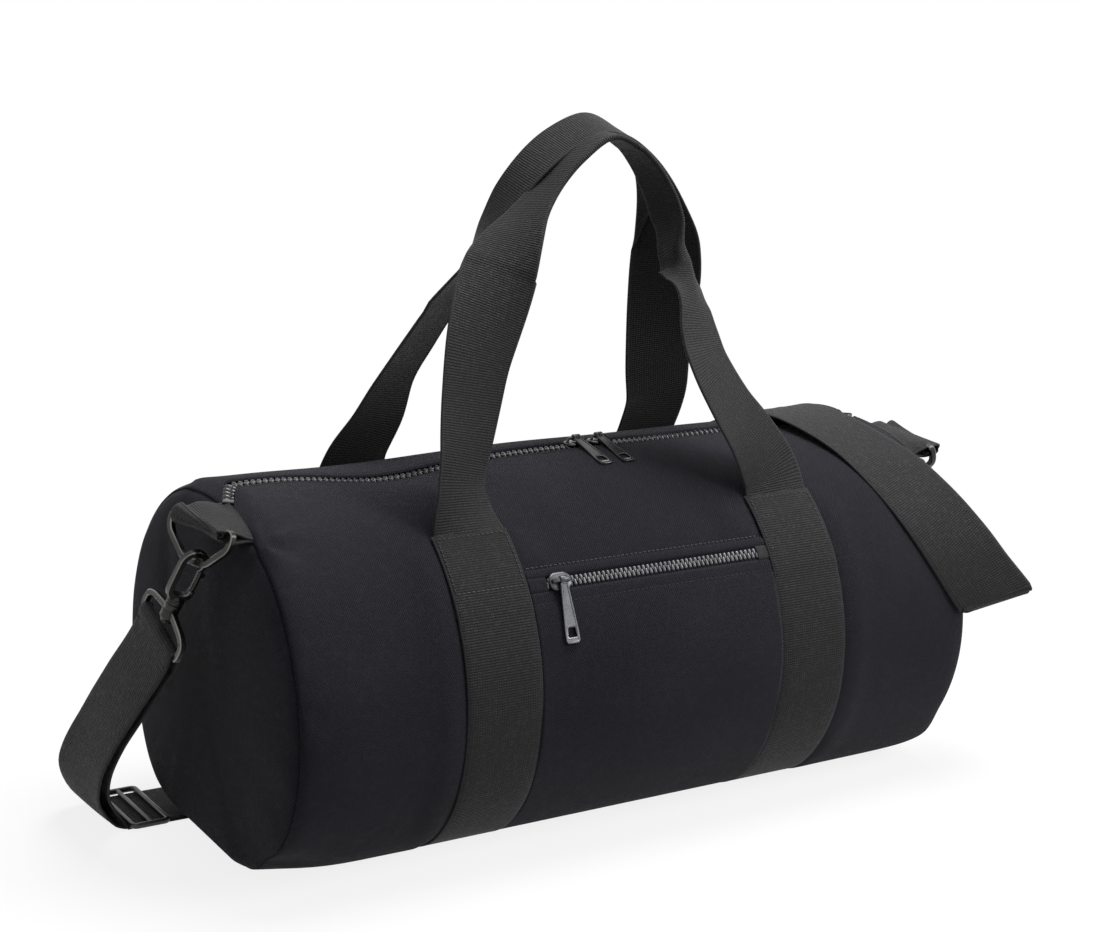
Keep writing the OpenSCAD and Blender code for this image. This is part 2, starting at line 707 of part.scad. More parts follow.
body_panel();
left_end_panel();
right_end_panel();
left_seam_binding();
right_seam_binding();
main_zip_front_tape();
main_zip_rear_tape();
main_zip_front_teeth();
main_zip_rear_teeth();
main_zip_stops();
main_slider_left();
main_slider_right();
main_pull_left();
main_pull_right();
pocket_panel();
pocket_top_strip();
pocket_lining();
pocket_zip_upper_tape();
pocket_zip_lower_tape();
pocket_zip_upper_teeth();
pocket_zip_lower_teeth();
pocket_zip_stops();
pocket_slider();
pocket_pull();
left_band();
right_band();
front_handle_anchors();
rear_handle_anchors();
front_handle();
rear_handle();
left_tab();
right_tab();
left_ring();
right_ring();
left_hook();
right_hook();
left_gate();
right_gate();
left_gate_spring();
right_gate_spring();
left_swivel_loop();
right_swivel_loop();
shoulder_strap();
left_strap_end();
right_strap_end();
strap_adjuster();
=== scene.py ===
# Barrel bag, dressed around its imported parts. Sizes are millimetres until a mesh is made.
import bmesh
import bpy
import numpy as np
from mathutils import Matrix


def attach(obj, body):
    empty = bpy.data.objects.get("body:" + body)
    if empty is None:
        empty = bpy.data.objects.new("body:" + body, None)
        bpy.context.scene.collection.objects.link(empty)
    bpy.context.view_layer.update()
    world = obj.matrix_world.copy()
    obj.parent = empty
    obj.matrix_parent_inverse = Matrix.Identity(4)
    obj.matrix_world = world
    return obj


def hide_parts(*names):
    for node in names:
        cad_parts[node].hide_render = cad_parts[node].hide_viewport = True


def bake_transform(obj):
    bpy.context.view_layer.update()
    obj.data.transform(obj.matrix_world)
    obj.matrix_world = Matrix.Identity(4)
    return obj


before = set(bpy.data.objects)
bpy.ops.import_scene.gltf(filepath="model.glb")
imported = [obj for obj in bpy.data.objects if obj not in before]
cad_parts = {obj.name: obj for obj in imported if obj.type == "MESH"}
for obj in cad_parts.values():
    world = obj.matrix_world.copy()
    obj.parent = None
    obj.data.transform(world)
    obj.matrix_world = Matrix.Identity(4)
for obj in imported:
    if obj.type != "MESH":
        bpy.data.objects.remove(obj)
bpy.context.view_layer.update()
mm = 0.001
fullTurn = 2 * np.pi
weaveMap = "weave"
webbingHalf = 25.0
xAxis, yAxis, zAxis = np.eye(3)

shell = {
    "seamX": 242.0,  # half the length between the end seams
    "roundR": 124.0, "axisZ": 100.4,  # upper half: a circle about the axis
    "drop": 98.0, "halfFlat": 45.0,  # lower half: its depth, and half the flat base
    "crown": 8.0,  # how far an end panel stands out
    "wall": 1.2, "lipY": 7.3, "rows": 190, "seed": 11,
    "arcPerDegree": 2.16,  # millimetres of cloth for one degree of the upper half
}


# Camera, floor and light

view = {
    "azimuth": -32.58, "elevation": 14.1, "roll": 2.25, "distance": 1417.2,
    "target": (-11.1, 0.0, 212.3), "focalPixels": 2232.8, "imageWidth": 1095, "sensor": 36.0,
}


# A new object on its data, in the scene.
def linked(name, data):
    obj = bpy.data.objects.new(name, data)
    bpy.context.scene.collection.objects.link(obj)
    return obj


# Camera axes: back points from the target to the eye, right and up are turned by the roll.
def makeCamera():
    az, el, roll = np.radians([view["azimuth"], view["elevation"], view["roll"]])
    back = np.array([np.sin(az) * np.cos(el), -np.cos(az) * np.cos(el), np.sin(el)])
    right = np.array([np.cos(az), np.sin(az), 0.0])
    up = np.cross(back, right)
    rolledRight = np.cos(roll) * right + np.sin(roll) * up
    rolledUp = np.cos(roll) * up - np.sin(roll) * right
    place = (np.array(view["target"]) + back * view["distance"]) * mm
    data = bpy.data.cameras.new("camera")
    data.sensor_width = view["sensor"]
    data.lens = view["focalPixels"] * view["sensor"] / view["imageWidth"]
    data.clip_start = 0.05
    data.clip_end = 20.0
    camera = linked("camera", data)
    rows = [[rolledRight[i], rolledUp[i], back[i], place[i]] for i in range(3)]
    camera.matrix_world = Matrix(rows + [[0, 0, 0, 1]])
    bpy.context.scene.camera = camera


# A round lamp at a place, turned so that its -Z looks at the aim.
def areaLamp(name, place, aim, size, power):
    data = bpy.data.lights.new(name, "AREA")
    data.shape = "DISK"
    data.size = size
    data.energy = power
    lamp = linked(name, data)
    lamp.location = place
    ahead = unit(np.array(aim, float) - np.array(place, float))
    side = unit(np.cross(ahead, zAxis))
    over = np.cross(side, ahead)
    back = -ahead
    rows = [[side[i], over[i], back[i], place[i]] for i in range(3)]
    lamp.matrix_world = Matrix(rows + [[0, 0, 0, 1]])


studio = {
    "skyLight": 0.22,
    "floorTone": 0.45, "seenTone": 1.0,  # the paper's tone for the bag's light, and for the camera
    "floorWhite": 0.84, "fadeFrom": 0.3, "fadeTo": 0.8, "floorHalf": 1.6,
    "lamps": {
        "topLamp": {"place": (0.5, 0.1, 2.1), "aim": (0, 0, 0.15), "size": 1.5, "power": 50.0},
        "rightLamp": {"place": (1.7, -1.5, 1.3), "aim": (0.1, 0, 0.15), "size": 1.3, "power": 37.0},
    },
}


# The world is a plain dim sky for the bag, and white paper for the camera and for reflections.
def makeStudio():
    world = bpy.data.worlds.new("studio")
    bpy.context.scene.world = world
    world.use_nodes = True
    tree = world.node_tree
    tree.nodes.clear()
    sky = tree.nodes.new("ShaderNodeBackground")
    paper = tree.nodes.new("ShaderNodeBackground")
    for light, strength in ((sky, studio["skyLight"]), (paper, 1.0)):
        light.inputs["Color"].default_value = rgb(1, 1, 1)
        light.inputs["Strength"].default_value = strength
    mix = mixShader(tree, seenDirectly(tree), sky, paper)
    out = tree.nodes.new("ShaderNodeOutputWorld")
    tree.links.new(mix.outputs[0], out.inputs[0])
    for name, lamp in studio["lamps"].items():
        areaLamp(name, lamp["place"], lamp["aim"], lamp["size"], lamp["power"])


# 1 for a ray from the camera, or one that a mirror or glass passes on.
def seenDirectly(tree):
    path = tree.nodes.new("ShaderNodeLightPath")
    first = calc(tree, "MAXIMUM", path.outputs["Is Camera Ray"], path.outputs["Is Glossy Ray"])
    return calc(tree, "MAXIMUM", first, path.outputs["Is Transmission Ray"])


# The floor is a plain square whose outer part fades away, so that it meets the white behind it.
# The camera sees the paper's own white over part of its shaded tone, so the shadow stays faint.
def makeFloor():
    h = studio["floorHalf"]
    data = bpy.data.meshes.new("floor")
    data.from_pydata([(-h, -h, 0), (h, -h, 0), (h, h, 0), (-h, h, 0)], [], [(0, 1, 2, 3)])
    floor = linked("floor", data)
    mat = bpy.data.materials.new("paperFloor")
    mat.use_nodes = True
    tree = mat.node_tree
    tree.nodes.clear()
    paper = tree.nodes.new("ShaderNodeBsdfDiffuse")
    tone = rampTo(tree, seenDirectly(tree), 0.0, 1.0, studio["floorTone"], studio["seenTone"])
    grey = tree.nodes.new("ShaderNodeCombineXYZ")
    for socket in grey.inputs:
        tree.links.new(tone, socket)
    tree.links.new(grey.outputs[0], paper.inputs["Color"])
    glow = tree.nodes.new("ShaderNodeEmission")
    share = calc(tree, "MULTIPLY", seenDirectly(tree), studio["floorWhite"])
    lit = mixShader(tree, share, paper, glow)
    clear = tree.nodes.new("ShaderNodeBsdfTransparent")
    coord = tree.nodes.new("ShaderNodeTexCoord")
    length = tree.nodes.new("ShaderNodeVectorMath")
    length.operation = "LENGTH"
    tree.links.new(coord.outputs["Object"], length.inputs[0])
    fade = rampTo(tree, length.outputs["Value"], studio["fadeFrom"], studio["fadeTo"])
    out = tree.nodes.new("ShaderNodeOutputMaterial")
    tree.links.new(mixShader(tree, fade, lit, clear).outputs[0], out.inputs[0])
    data.materials.append(mat)


# Node helpers: each takes numbers or sockets and gives a socket, but mixShader takes and gives nodes.

# An opaque colour.
def rgb(r, g, b):
    return (r, g, b, 1.0)


# The first shader where share is 0, the second where it is 1.
def mixShader(tree, share, first, second):
    n = tree.nodes.new("ShaderNodeMixShader")
    tree.links.new(share, n.inputs[0])
    tree.links.new(first.outputs[0], n.inputs[1])
    tree.links.new(second.outputs[0], n.inputs[2])
    return n


# A socket is linked, a number is written as the value.
def feed(tree, socket, value):
    if isinstance(value, bpy.types.NodeSocket):
        tree.links.new(value, socket)
    else:
        socket.default_value = value


# One Math node: the operation on a, b and c.
def calc(tree, operation, a, b=0.0, c=0.0):
    n = tree.nodes.new("ShaderNodeMath")
    n.operation = operation
    feed(tree, n.inputs[0], a)
    feed(tree, n.inputs[1], b)
    feed(tree, n.inputs[2], c)
    return n.outputs[0]


# toLow below low and toHigh above high, by 3t^2 - 2t^3 between them.
def rampTo(tree, value, low, high, toLow=0.0, toHigh=1.0):
    n = tree.nodes.new("ShaderNodeMapRange")
    n.interpolation_type = "SMOOTHSTEP"
    feed(tree, n.inputs["Value"], value)
    feed(tree, n.inputs["From Min"], low)
    feed(tree, n.inputs["From Max"], high)
    feed(tree, n.inputs["To Min"], toLow)
    feed(tree, n.inputs["To Max"], toHigh)
    return n.outputs["Result"]


# Noise from 0 to 1 at the vector, in cells of 1 / scale.
def noise(tree, vector, scale, detail, roughness=0.5):
    n = tree.nodes.new("ShaderNodeTexNoise")
    feed(tree, n.inputs["Vector"], vector)
    feed(tree, n.inputs["Scale"], scale)
    n.inputs["Detail"].default_value = detail
    n.inputs["Roughness"].default_value = roughness
    return n.outputs["Fac"]


# (1 - factor) * a + factor * b.
def mixColor(tree, factor, a, b):
    n = tree.nodes.new("ShaderNodeMix")
    n.data_type = "RGBA"
    feed(tree, n.inputs[0], factor)
    feed(tree, n.inputs[6], a)
    feed(tree, n.inputs[7], b)
    return n.outputs[2]


# A group with a Vector input, a number input for each given default, and number outputs.
def newGroup(name, numbers, outputs):
    tree = bpy.data.node_groups.new(name, "ShaderNodeTree")
    tree.interface.new_socket("Vector", in_out="INPUT", socket_type="NodeSocketVector")
    for label, value in numbers.items():
        s = tree.interface.new_socket(label, in_out="INPUT", socket_type="NodeSocketFloat")
        s.default_value = value
    for label in outputs:
        tree.interface.new_socket(label, in_out="OUTPUT", socket_type="NodeSocketFloat")
    return tree, tree.nodes.new("NodeGroupInput"), tree.nodes.new("NodeGroupOutput")


# The first two parts of a vector.
def splitVector(tree, vector):
    parts = tree.nodes.new("ShaderNodeSeparateXYZ")
    tree.links.new(vector, parts.inputs[0])
    return parts.outputs[0], parts.outputs[1]


# A sine wave of the angle, moved to run from 0 to 1.
def sineWave(tree, angle):
    return calc(tree, "MULTIPLY_ADD", calc(tree, "SINE", angle), 0.5, 0.5)


# A node that uses the named group with these inputs.
def useGroup(tree, name, **values):
    n = tree.nodes.new("ShaderNodeGroup")
    n.node_tree = bpy.data.node_groups[name]
    for label, value in values.items():
        feed(tree, n.inputs[label], value)
    return n


# Twill: steep ridges on u + v, crossed by finer threads on u - v. Height and tone run from 0 to 1; the tone
# follows the height plus lint, so the colour paints shade into the valleys.
def makeTwillGroup():
    tree, given, out = newGroup("twillWeave", {"Pitch": 1.5, "Lint": 0.5}, ["Height", "Tone"])
    u, v = splitVector(tree, given.outputs["Vector"])
    wobble = calc(tree, "MULTIPLY", noise(tree, given.outputs["Vector"], 0.09, 2.0), 1.6)
    diagonal = calc(tree, "ADD", calc(tree, "MULTIPLY_ADD", v, 0.8, u), wobble)
    turn = calc(tree, "DIVIDE", calc(tree, "MULTIPLY", diagonal, fullTurn), given.outputs["Pitch"])
    ridge = sineWave(tree, turn)
    across = calc(tree, "SUBTRACT", u, calc(tree, "MULTIPLY", v, 1.25))
    fine = calc(tree, "DIVIDE", calc(tree, "MULTIPLY", across, 11.0), given.outputs["Pitch"])
    thread = sineWave(tree, fine)
    height = calc(tree, "MULTIPLY_ADD", thread, 0.35, calc(tree, "MULTIPLY", ridge, 0.65))
    lint = noise(tree, given.outputs["Vector"], 0.9, 2.0, 0.7)
    speck = calc(tree, "MULTIPLY", calc(tree, "SUBTRACT", lint, 0.5), given.outputs["Lint"])
    tree.links.new(height, out.inputs["Height"])
    tree.links.new(calc(tree, "ADD", height, speck), out.inputs["Tone"])


# Webbing: ribs across the width, stepped a fifth of a rib from one column of yarn to the next,
# and a plain bead along both selvedges. u runs across from the middle, v runs along.
def makeWebbingGroup():
    numbers = {"Pitch": 1.4, "Column": 1.7, "Half": 25.0}
    tree, given, out = newGroup("webbingWeave", numbers, ["Height", "Tone", "Edge"])
    u, v = splitVector(tree, given.outputs["Vector"])
    column = calc(tree, "DIVIDE", u, given.outputs["Column"])
    side = calc(tree, "PINGPONG", column, 1.0)
    step = calc(tree, "MULTIPLY", rampTo(tree, side, 0.3, 0.7), 0.75)
    turn = calc(tree, "DIVIDE", calc(tree, "MULTIPLY", v, fullTurn), given.outputs["Pitch"])
    rib = sineWave(tree, calc(tree, "ADD", turn, step))
    yarn = calc(tree, "ABSOLUTE", calc(tree, "SINE", calc(tree, "MULTIPLY", column, np.pi)))
    body = calc(tree, "MULTIPLY", rib, calc(tree, "MULTIPLY_ADD", yarn, 0.55, 0.45))
    reach = calc(tree, "ABSOLUTE", u)
    beadFrom = calc(tree, "SUBTRACT", given.outputs["Half"], 1.1)
    beadTo = calc(tree, "SUBTRACT", given.outputs["Half"], 0.6)
    edge = rampTo(tree, reach, beadFrom, beadTo)
    height = calc(tree, "MAXIMUM", calc(tree, "MULTIPLY", edge, 0.8), body)
    fuzz = noise(tree, given.outputs["Vector"], 1.2, 2.0, 0.7)
    # The tone follows the height plus fuzz, so the colour paints shade into the valleys between the ribs.
    tone = calc(tree, "ADD", height, calc(tree, "MULTIPLY", calc(tree, "SUBTRACT", fuzz, 0.5), 0.5))
    tree.links.new(height, out.inputs["Height"])
    tree.links.new(tone, out.inputs["Tone"])
    tree.links.new(edge, out.inputs["Edge"])


# Slow stains and dust: a soft blotch from 0 to 1 on Object coordinates.
def makeDustGroup():
    tree, given, out = newGroup("softDust", {"Scale": 9.0}, ["Blotch", "Speck"])
    wide = noise(tree, given.outputs["Vector"], given.outputs["Scale"], 3.0)
    finer = calc(tree, "MULTIPLY", given.outputs["Scale"], 28.0)
    narrow = noise(tree, given.outputs["Vector"], finer, 2.0)
    tree.links.new(rampTo(tree, wide, 0.35, 0.68), out.inputs["Blotch"])
    tree.links.new(rampTo(tree, narrow, 0.45, 0.7), out.inputs["Speck"])


# An empty material with its output, its shader and the coordinates.
def startMaterial(name):
    mat = bpy.data.materials.new(name)
    mat.use_nodes = True
    tree = mat.node_tree
    tree.nodes.clear()
    out = tree.nodes.new("ShaderNodeOutputMaterial")
    skin = tree.nodes.new("ShaderNodeBsdfPrincipled")
    tree.links.new(skin.outputs[0], out.inputs[0])
    coord = tree.nodes.new("ShaderNodeTexCoord")
    return mat, tree, skin, coord


# Bump of a height from 0 to 1, over a distance in millimetres.
def addBump(tree, skin, height, strength, distance):
    b = tree.nodes.new("ShaderNodeBump")
    b.inputs["Strength"].default_value = strength
    b.inputs["Distance"].default_value = distance * mm
    tree.links.new(height, b.inputs["Height"])
    tree.links.new(b.outputs[0], skin.inputs["Normal"])


# The values of the shader that stay the same all over a piece.
def setConstants(skin, specular, sheen, sheenRough):
    skin.inputs["Specular IOR Level"].default_value = specular
    skin.inputs["Sheen Weight"].default_value = sheen
    skin.inputs["Sheen Roughness"].default_value = sheenRough


# Woven cloth: valleys take a darker colour, which is painted shade in the weave's hollows, ridges the top
# one, and dust lifts both a little.
# uv is False where the piece is a plain solid without a weave map: millimetres are read instead.
def clothMaterial(name, valleyShade, top, pitch, bump, sheen, lint=0.5, uv=True):
    mat, tree, skin, coord = startMaterial(name)
    vector = coord.outputs["UV"] if uv else scaled(tree, coord.outputs["Object"], 1 / mm)
    weave = useGroup(tree, "twillWeave", Vector=vector, Pitch=pitch, Lint=lint)
    dust = useGroup(tree, "softDust", Vector=coord.outputs["Object"], Scale=8.0)
    # Painted shade: the weave's valleys take the darker colour, the ridges the top one.
    base = mixColor(tree, weave.outputs["Tone"], rgb(*valleyShade), rgb(*top))
    mixed = mixColor(tree, calc(tree, "MULTIPLY", dust.outputs["Blotch"], 0.35), base, aged(top, 1.22))
    tree.links.new(mixed, skin.inputs["Base Color"])
    rough = calc(tree, "MULTIPLY_ADD", dust.outputs["Speck"], -0.08, 0.9)
    tree.links.new(rough, skin.inputs["Roughness"])
    setConstants(skin, 0.12, sheen, 0.45)
    addBump(tree, skin, weave.outputs["Height"], bump, 0.35)
    return mat


# A colour times the lift, as dust and wear leave it.
def aged(colour, lift):
    return rgb(*(c * lift for c in colour))


# vector * factor.
def scaled(tree, vector, factor):
    n = tree.nodes.new("ShaderNodeVectorMath")
    n.operation = "SCALE"
    tree.links.new(vector, n.inputs[0])
    n.inputs["Scale"].default_value = factor
    return n.outputs[0]


# Webbing: as the cloth, with painted shade in the valleys between the ribs, and a colour of its own on the
# bead along both selvedges.
def webbingMaterial(name, valleyShade, top, edge, pitch, column, half=25.0, bump=0.85):
    mat, tree, skin, coord = startMaterial(name)
    across = coord.outputs["UV"]
    weave = useGroup(tree, "webbingWeave", Vector=across, Pitch=pitch, Column=column, Half=half)
    dust = useGroup(tree, "softDust", Vector=coord.outputs["Object"], Scale=14.0)
    # Painted shade: the valleys between the ribs take the darker colour, the ribs the top one.
    base = mixColor(tree, weave.outputs["Tone"], rgb(*valleyShade), rgb(*top))
    bead = mixColor(tree, calc(tree, "MULTIPLY", weave.outputs["Edge"], 0.8), base, rgb(*edge))
    mixed = mixColor(tree, calc(tree, "MULTIPLY", dust.outputs["Blotch"], 0.22), bead, aged(top, 1.35))
    tree.links.new(mixed, skin.inputs["Base Color"])
    rough = calc(tree, "MULTIPLY_ADD", dust.outputs["Speck"], -0.12, 0.72)
    tree.links.new(rough, skin.inputs["Roughness"])
    setConstants(skin, 0.2, 0.05, 0.4)
    addBump(tree, skin, weave.outputs["Height"], bump, 0.45)
    return mat


# Plated or painted metal: fine grain in the bump, and rubbed patches that are paler and smoother.
def metalMaterial(name, base, rubbed, metallic, rough):
    mat, tree, skin, coord = startMaterial(name)
    dust = useGroup(tree, "softDust", Vector=coord.outputs["Object"], Scale=60.0)
    worn = calc(tree, "MULTIPLY", dust.outputs["Blotch"], 0.55)
    tree.links.new(mixColor(tree, worn, rgb(*base), rgb(*rubbed)), skin.inputs["Base Color"])
    smoother = calc(tree, "MULTIPLY_ADD", dust.outputs["Blotch"], -0.1, rough)
    tree.links.new(smoother, skin.inputs["Roughness"])
    skin.inputs["Metallic"].default_value = metallic
    skin.inputs["Specular IOR Level"].default_value = 0.6
    grain = noise(tree, coord.outputs["Object"], 420.0, 3.0)
    addBump(tree, skin, grain, 0.12, 0.2)
    return mat


# Colours are linear: the first of each is painted shade for the weave's valleys, the second the ridges'
# colour. pitch and column are the weave's steps in millimetres.
cloths = {
    "shell": {"name": "shellCloth", "valleyShade": (0.0022, 0.002, 0.0042), "top": (0.0205, 0.0195, 0.026),
              "pitch": 1.5, "bump": 0.75, "sheen": 0.05, "lint": 0.8},
    "lining": {"name": "liningCloth", "valleyShade": (0.01, 0.01, 0.012), "top": (0.022, 0.022, 0.026),
               "pitch": 1.2, "bump": 0.3, "sheen": 0.1, "uv": False},
    "thread": {"name": "stitchThread", "valleyShade": (0.045, 0.045, 0.05), "top": (0.12, 0.12, 0.13),
               "pitch": 0.6, "bump": 0.5, "sheen": 0.1, "uv": False},
    "darkThread": {"name": "darkThread", "valleyShade": (0.016, 0.016, 0.019), "top": (0.045, 0.045, 0.05),
                   "pitch": 0.6, "bump": 0.5, "sheen": 0.1, "uv": False},
}
webbings = {
    "webbing": {"name": "wideWebbing", "valleyShade": (0.001, 0.001, 0.0013), "top": (0.0225, 0.0225, 0.024),
                "edge": (0.026, 0.026, 0.0275), "pitch": 1.55, "column": 1.9},
    # The band is a darker copy of the handles' webbing: the darker colour is painted shade.
    "band": {"name": "bandWebbing", "valleyShade": (0.0008, 0.0008, 0.001), "top": (0.013, 0.013, 0.0142),
             "edge": (0.0145, 0.0145, 0.016), "pitch": 1.6, "column": 1.6},
    "tape": {"name": "zipTape", "valleyShade": (0.006, 0.006, 0.007), "top": (0.02, 0.02, 0.022),
             "edge": (0.02, 0.02, 0.022), "pitch": 1.1, "column": 1.0, "half": 40.0, "bump": 0.5},
}
# Base colour, rubbed colour, metallic, roughness
metals = {
    "blackMetal": [(0.02, 0.02, 0.021), (0.05, 0.05, 0.052), 0.35, 0.28],
    "gunmetal": [(0.016, 0.016, 0.0145), (0.034, 0.034, 0.03), 0.55, 0.3],
    # The cut edges' paler metal: painted highlight lines along the edges, with some rubbed wear.
    "edgeHighlightAndWear": [(0.1, 0.1, 0.095), (0.24, 0.24, 0.23), 0.9, 0.26],
    "greyMetal": [(0.075, 0.076, 0.08), (0.15, 0.15, 0.158), 0.8, 0.38],
    "toothMetal": [(0.11, 0.11, 0.116), (0.2, 0.2, 0.21), 0.6, 0.45],
    "darkPlastic": [(0.014, 0.014, 0.015), (0.024, 0.024, 0.025), 0.0, 0.42],
}


# The groups come first, because the materials use them.
def makeMaterials():
    makeTwillGroup()
    makeWebbingGroup()
    makeDustGroup()
    look = {key: clothMaterial(**values) for key, values in cloths.items()}
    look.update({key: webbingMaterial(**values) for key, values in webbings.items()})
    look.update({key: metalMaterial(key, *values) for key, values in metals.items()})
    return look


# Mesh helpers

# v / |v|.
def unit(v):
    return v / np.linalg.norm(v, axis=-1, keepdims=True)


# Side -1 is left and 1 is right.
def sideWord(side):
    return "left" if side < 0 else "right"


# 0 below 0, 1 above 1, and 3t^2 - 2t^3 between them.
def blendStep(t):
    t = np.clip(t, 0.0, 1.0)
    return t * t * (3 - 2 * t)


# A bell: e to the power of minus the squared distance from the centre, in widths.
def hump(t, centre, width):
    return np.exp(-((t - centre) / width) ** 2)


# Puts points, in millimetres, and blocks of equal-sided faces into a mesh. uv has one row a corner.
# The faces are turned outwards, unless recalc is False for an open sheet that gets a wall later.
def buildMesh(name, points, blocks, uv=None, recalc=True):
    data = bpy.data.meshes.new(name)
    corners = np.concatenate([b.ravel() for b in blocks])
    sizes = np.concatenate([np.full(len(b), b.shape[1]) for b in blocks])
    data.vertices.add(len(points))
    data.vertices.foreach_set("co", (points * mm).astype(np.float32).ravel())
    data.loops.add(len(corners))
    data.loops.foreach_set("vertex_index", corners.astype(np.int32))
    data.polygons.add(len(sizes))
    data.polygons.foreach_set("loop_start", (np.cumsum(sizes) - sizes).astype(np.int32))
    data.update(calc_edges=True)
    layer = data.uv_layers.new(name=weaveMap)
    uv = np.zeros((len(corners), 2)) if uv is None else uv
    layer.data.foreach_set("uv", uv.astype(np.float32).ravel())
    data.polygons.foreach_set("use_smooth", np.ones(len(sizes), bool))
    if recalc:
        work = bmesh.new()
        work.from_mesh(data)
        bmesh.ops.recalc_face_normals(work, faces=work.faces)
        if work.calc_volume(signed=True) < 0:
            bmesh.ops.reverse_faces(work, faces=work.faces)
        work.to_mesh(data)
        work.free()
    data.validate()
    return linked(name, data)


# Quad i,j of a grid joins its four neighbours; a wrapped side joins its last line to its first.
def gridFaces(rows, cols, wrapRows=False, wrapCols=False):
    i, j = np.meshgrid(np.arange(rows - (not wrapRows)), np.arange(cols - (not wrapCols)), indexing="ij")
    i2, j2 = (i + 1) % rows, (j + 1) % cols
    quads = np.stack([i * cols + j, i * cols + j2, i2 * cols + j2, i2 * cols + j], -1)
    return quads.reshape(-1, 4)


# The two end faces of a tube of rings with count points each.
def endCaps(count, rings):
    k = np.arange(count)
    return [k[None], (k[::-1] + (rings - 1) * count)[None]]


# The uv of each point, once for every corner of a face that uses it.
def cornerUv(blocks, uv):
    return np.concatenate([uv[b.ravel()] for b in blocks])


# Gives a piece its material, its body and the solids that it replaces.
def dress(obj, material, body, replaces=(), sharp=None):
    obj.data.materials.append(material)
    if sharp is not None:
        obj.data.set_sharp_from_angle(angle=np.radians(sharp))
    if body is not None:
        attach(obj, body)
    if replaces:
        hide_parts(*replaces)
    return obj


# The cloth's wall grows inwards from the outer face.
def addWall(obj):
    m = obj.modifiers.new("wall", "SOLIDIFY")
    m.thickness = shell["wall"] * mm
    m.offset = -1.0
    m.use_even_offset = False


# Catmull-Rom curve through the rows, with the end rows doubled.
def through(rows, steps):
    s = np.asarray(rows, float)
    e = np.vstack([s[:1], s, s[-1:]])
    a, b, c, d = e[:-3, None], e[1:-2, None], e[2:-1, None], e[3:, None]
    t = (np.arange(steps) / steps)[None, :, None]
    p = 2 * b + (c - a) * t + (2 * a - 5 * b + 4 * c - d) * t**2 + (3 * b - a - 3 * c + d) * t**3
    return np.vstack([p.reshape(-1, s.shape[1]) / 2, s[-1:]])


# Heading from the neighbours on both sides, and out is heading x across. Across is squared to the
# heading, but where slant is 1 it keeps its own direction and grows so that the width stays.
def ribbonFrame(path, across, slant=0.0):
    heading = unit(np.gradient(path, axis=0))
    flat = unit(across - (across * heading).sum(1, keepdims=True) * heading)
    out = np.cross(heading, flat)
    a = unit(across)
    raw = a / np.maximum((a * flat).sum(1, keepdims=True), 0.88)
    slant = np.broadcast_to(np.asarray(slant, float).reshape(-1, 1), (len(path), 1))
    return flat * (1 - slant) + raw * slant, out


# Running length along the points of a path, from 0.
def lengthAlong(path):
    steps = np.linalg.norm(np.diff(path, axis=0), axis=1)
    return np.concatenate([[0.0], np.cumsum(steps)])


# Rows of values that belong to the running lengths, read at other lengths.
def readAlong(at, run, values):
    return np.stack([np.interp(at, run, values[:, i]) for i in range(3)], -1)


# A ribbon: the middle line of its section (cx, cz), one row a station, is carried along the path.
# Half the thickness goes to each side of that line, and each long edge has one point more. The u of
# the weave is the length run along the section, and v the length along the path.
def ribbon(name, path, across, cx, cz, thick, slant=0.0):
    flat, out = ribbonFrame(path, across, slant)
    m = cx.shape[1]
    dx, dz = np.gradient(cx, axis=1), np.gradient(cz, axis=1)
    size = np.hypot(dx, dz)
    dx, dz = dx / size, dz / size
    steps = np.hypot(np.diff(cx, axis=1), np.diff(cz, axis=1))
    run = np.cumsum(np.hstack([np.zeros((len(cx), 1)), steps]), axis=1)
    s = 2 * run / run[:, -1:] - 1
    bead = thick / 2 * (1 + 0.18 * hump(np.abs(s), 0.97, 0.05))
    topX, topZ = cx - dz * bead, cz + dx * bead
    lowX, lowZ = cx + dz * bead, cz - dx * bead
    tip = thick * 0.42
    rightX, rightZ = cx[:, -1:] + dx[:, -1:] * tip, cz[:, -1:] + dz[:, -1:] * tip
    leftX, leftZ = cx[:, :1] - dx[:, :1] * tip, cz[:, :1] - dz[:, :1] * tip
    px = np.hstack([topX, rightX, lowX[:, ::-1], leftX])
    pz = np.hstack([topZ, rightZ, lowZ[:, ::-1], leftZ])
    points = path[:, None] + flat[:, None] * px[..., None] + out[:, None] * pz[..., None]
    ring = 2 * m + 2
    n = len(path)
    tipU = np.full((n, 1), 1.02)
    u = np.hstack([s, tipU, s[:, ::-1], -tipU]) * webbingHalf
    v = lengthAlong(path)
    uv = np.stack(np.broadcast_arrays(u, v[:, None]), -1).reshape(-1, 2)
    k = np.arange(m - 1)
    cap = np.stack([k, k + 1, 2 * m - k - 1, 2 * m - k], -1)
    tips = np.array([[m - 1, m, m + 1], [0, 2 * m, 2 * m + 1]])
    last = (n - 1) * ring
    blocks = [gridFaces(n, ring, wrapCols=True), cap[:, ::-1], cap + last, tips[:, ::-1], tips + last]
    return buildMesh(name, points.reshape(-1, 3), blocks, cornerUv(blocks, uv))


# A section from -half to half, where cup bends it to a shallow parabola.
def flatSection(half, cols, cup=0.0):
    s = np.linspace(-1, 1, cols)[None]
    half = np.asarray(half, float)[:, None]
    return s * half, np.broadcast_to(cup * (s**2 - 0.4), (len(half), cols)) + 0 * half


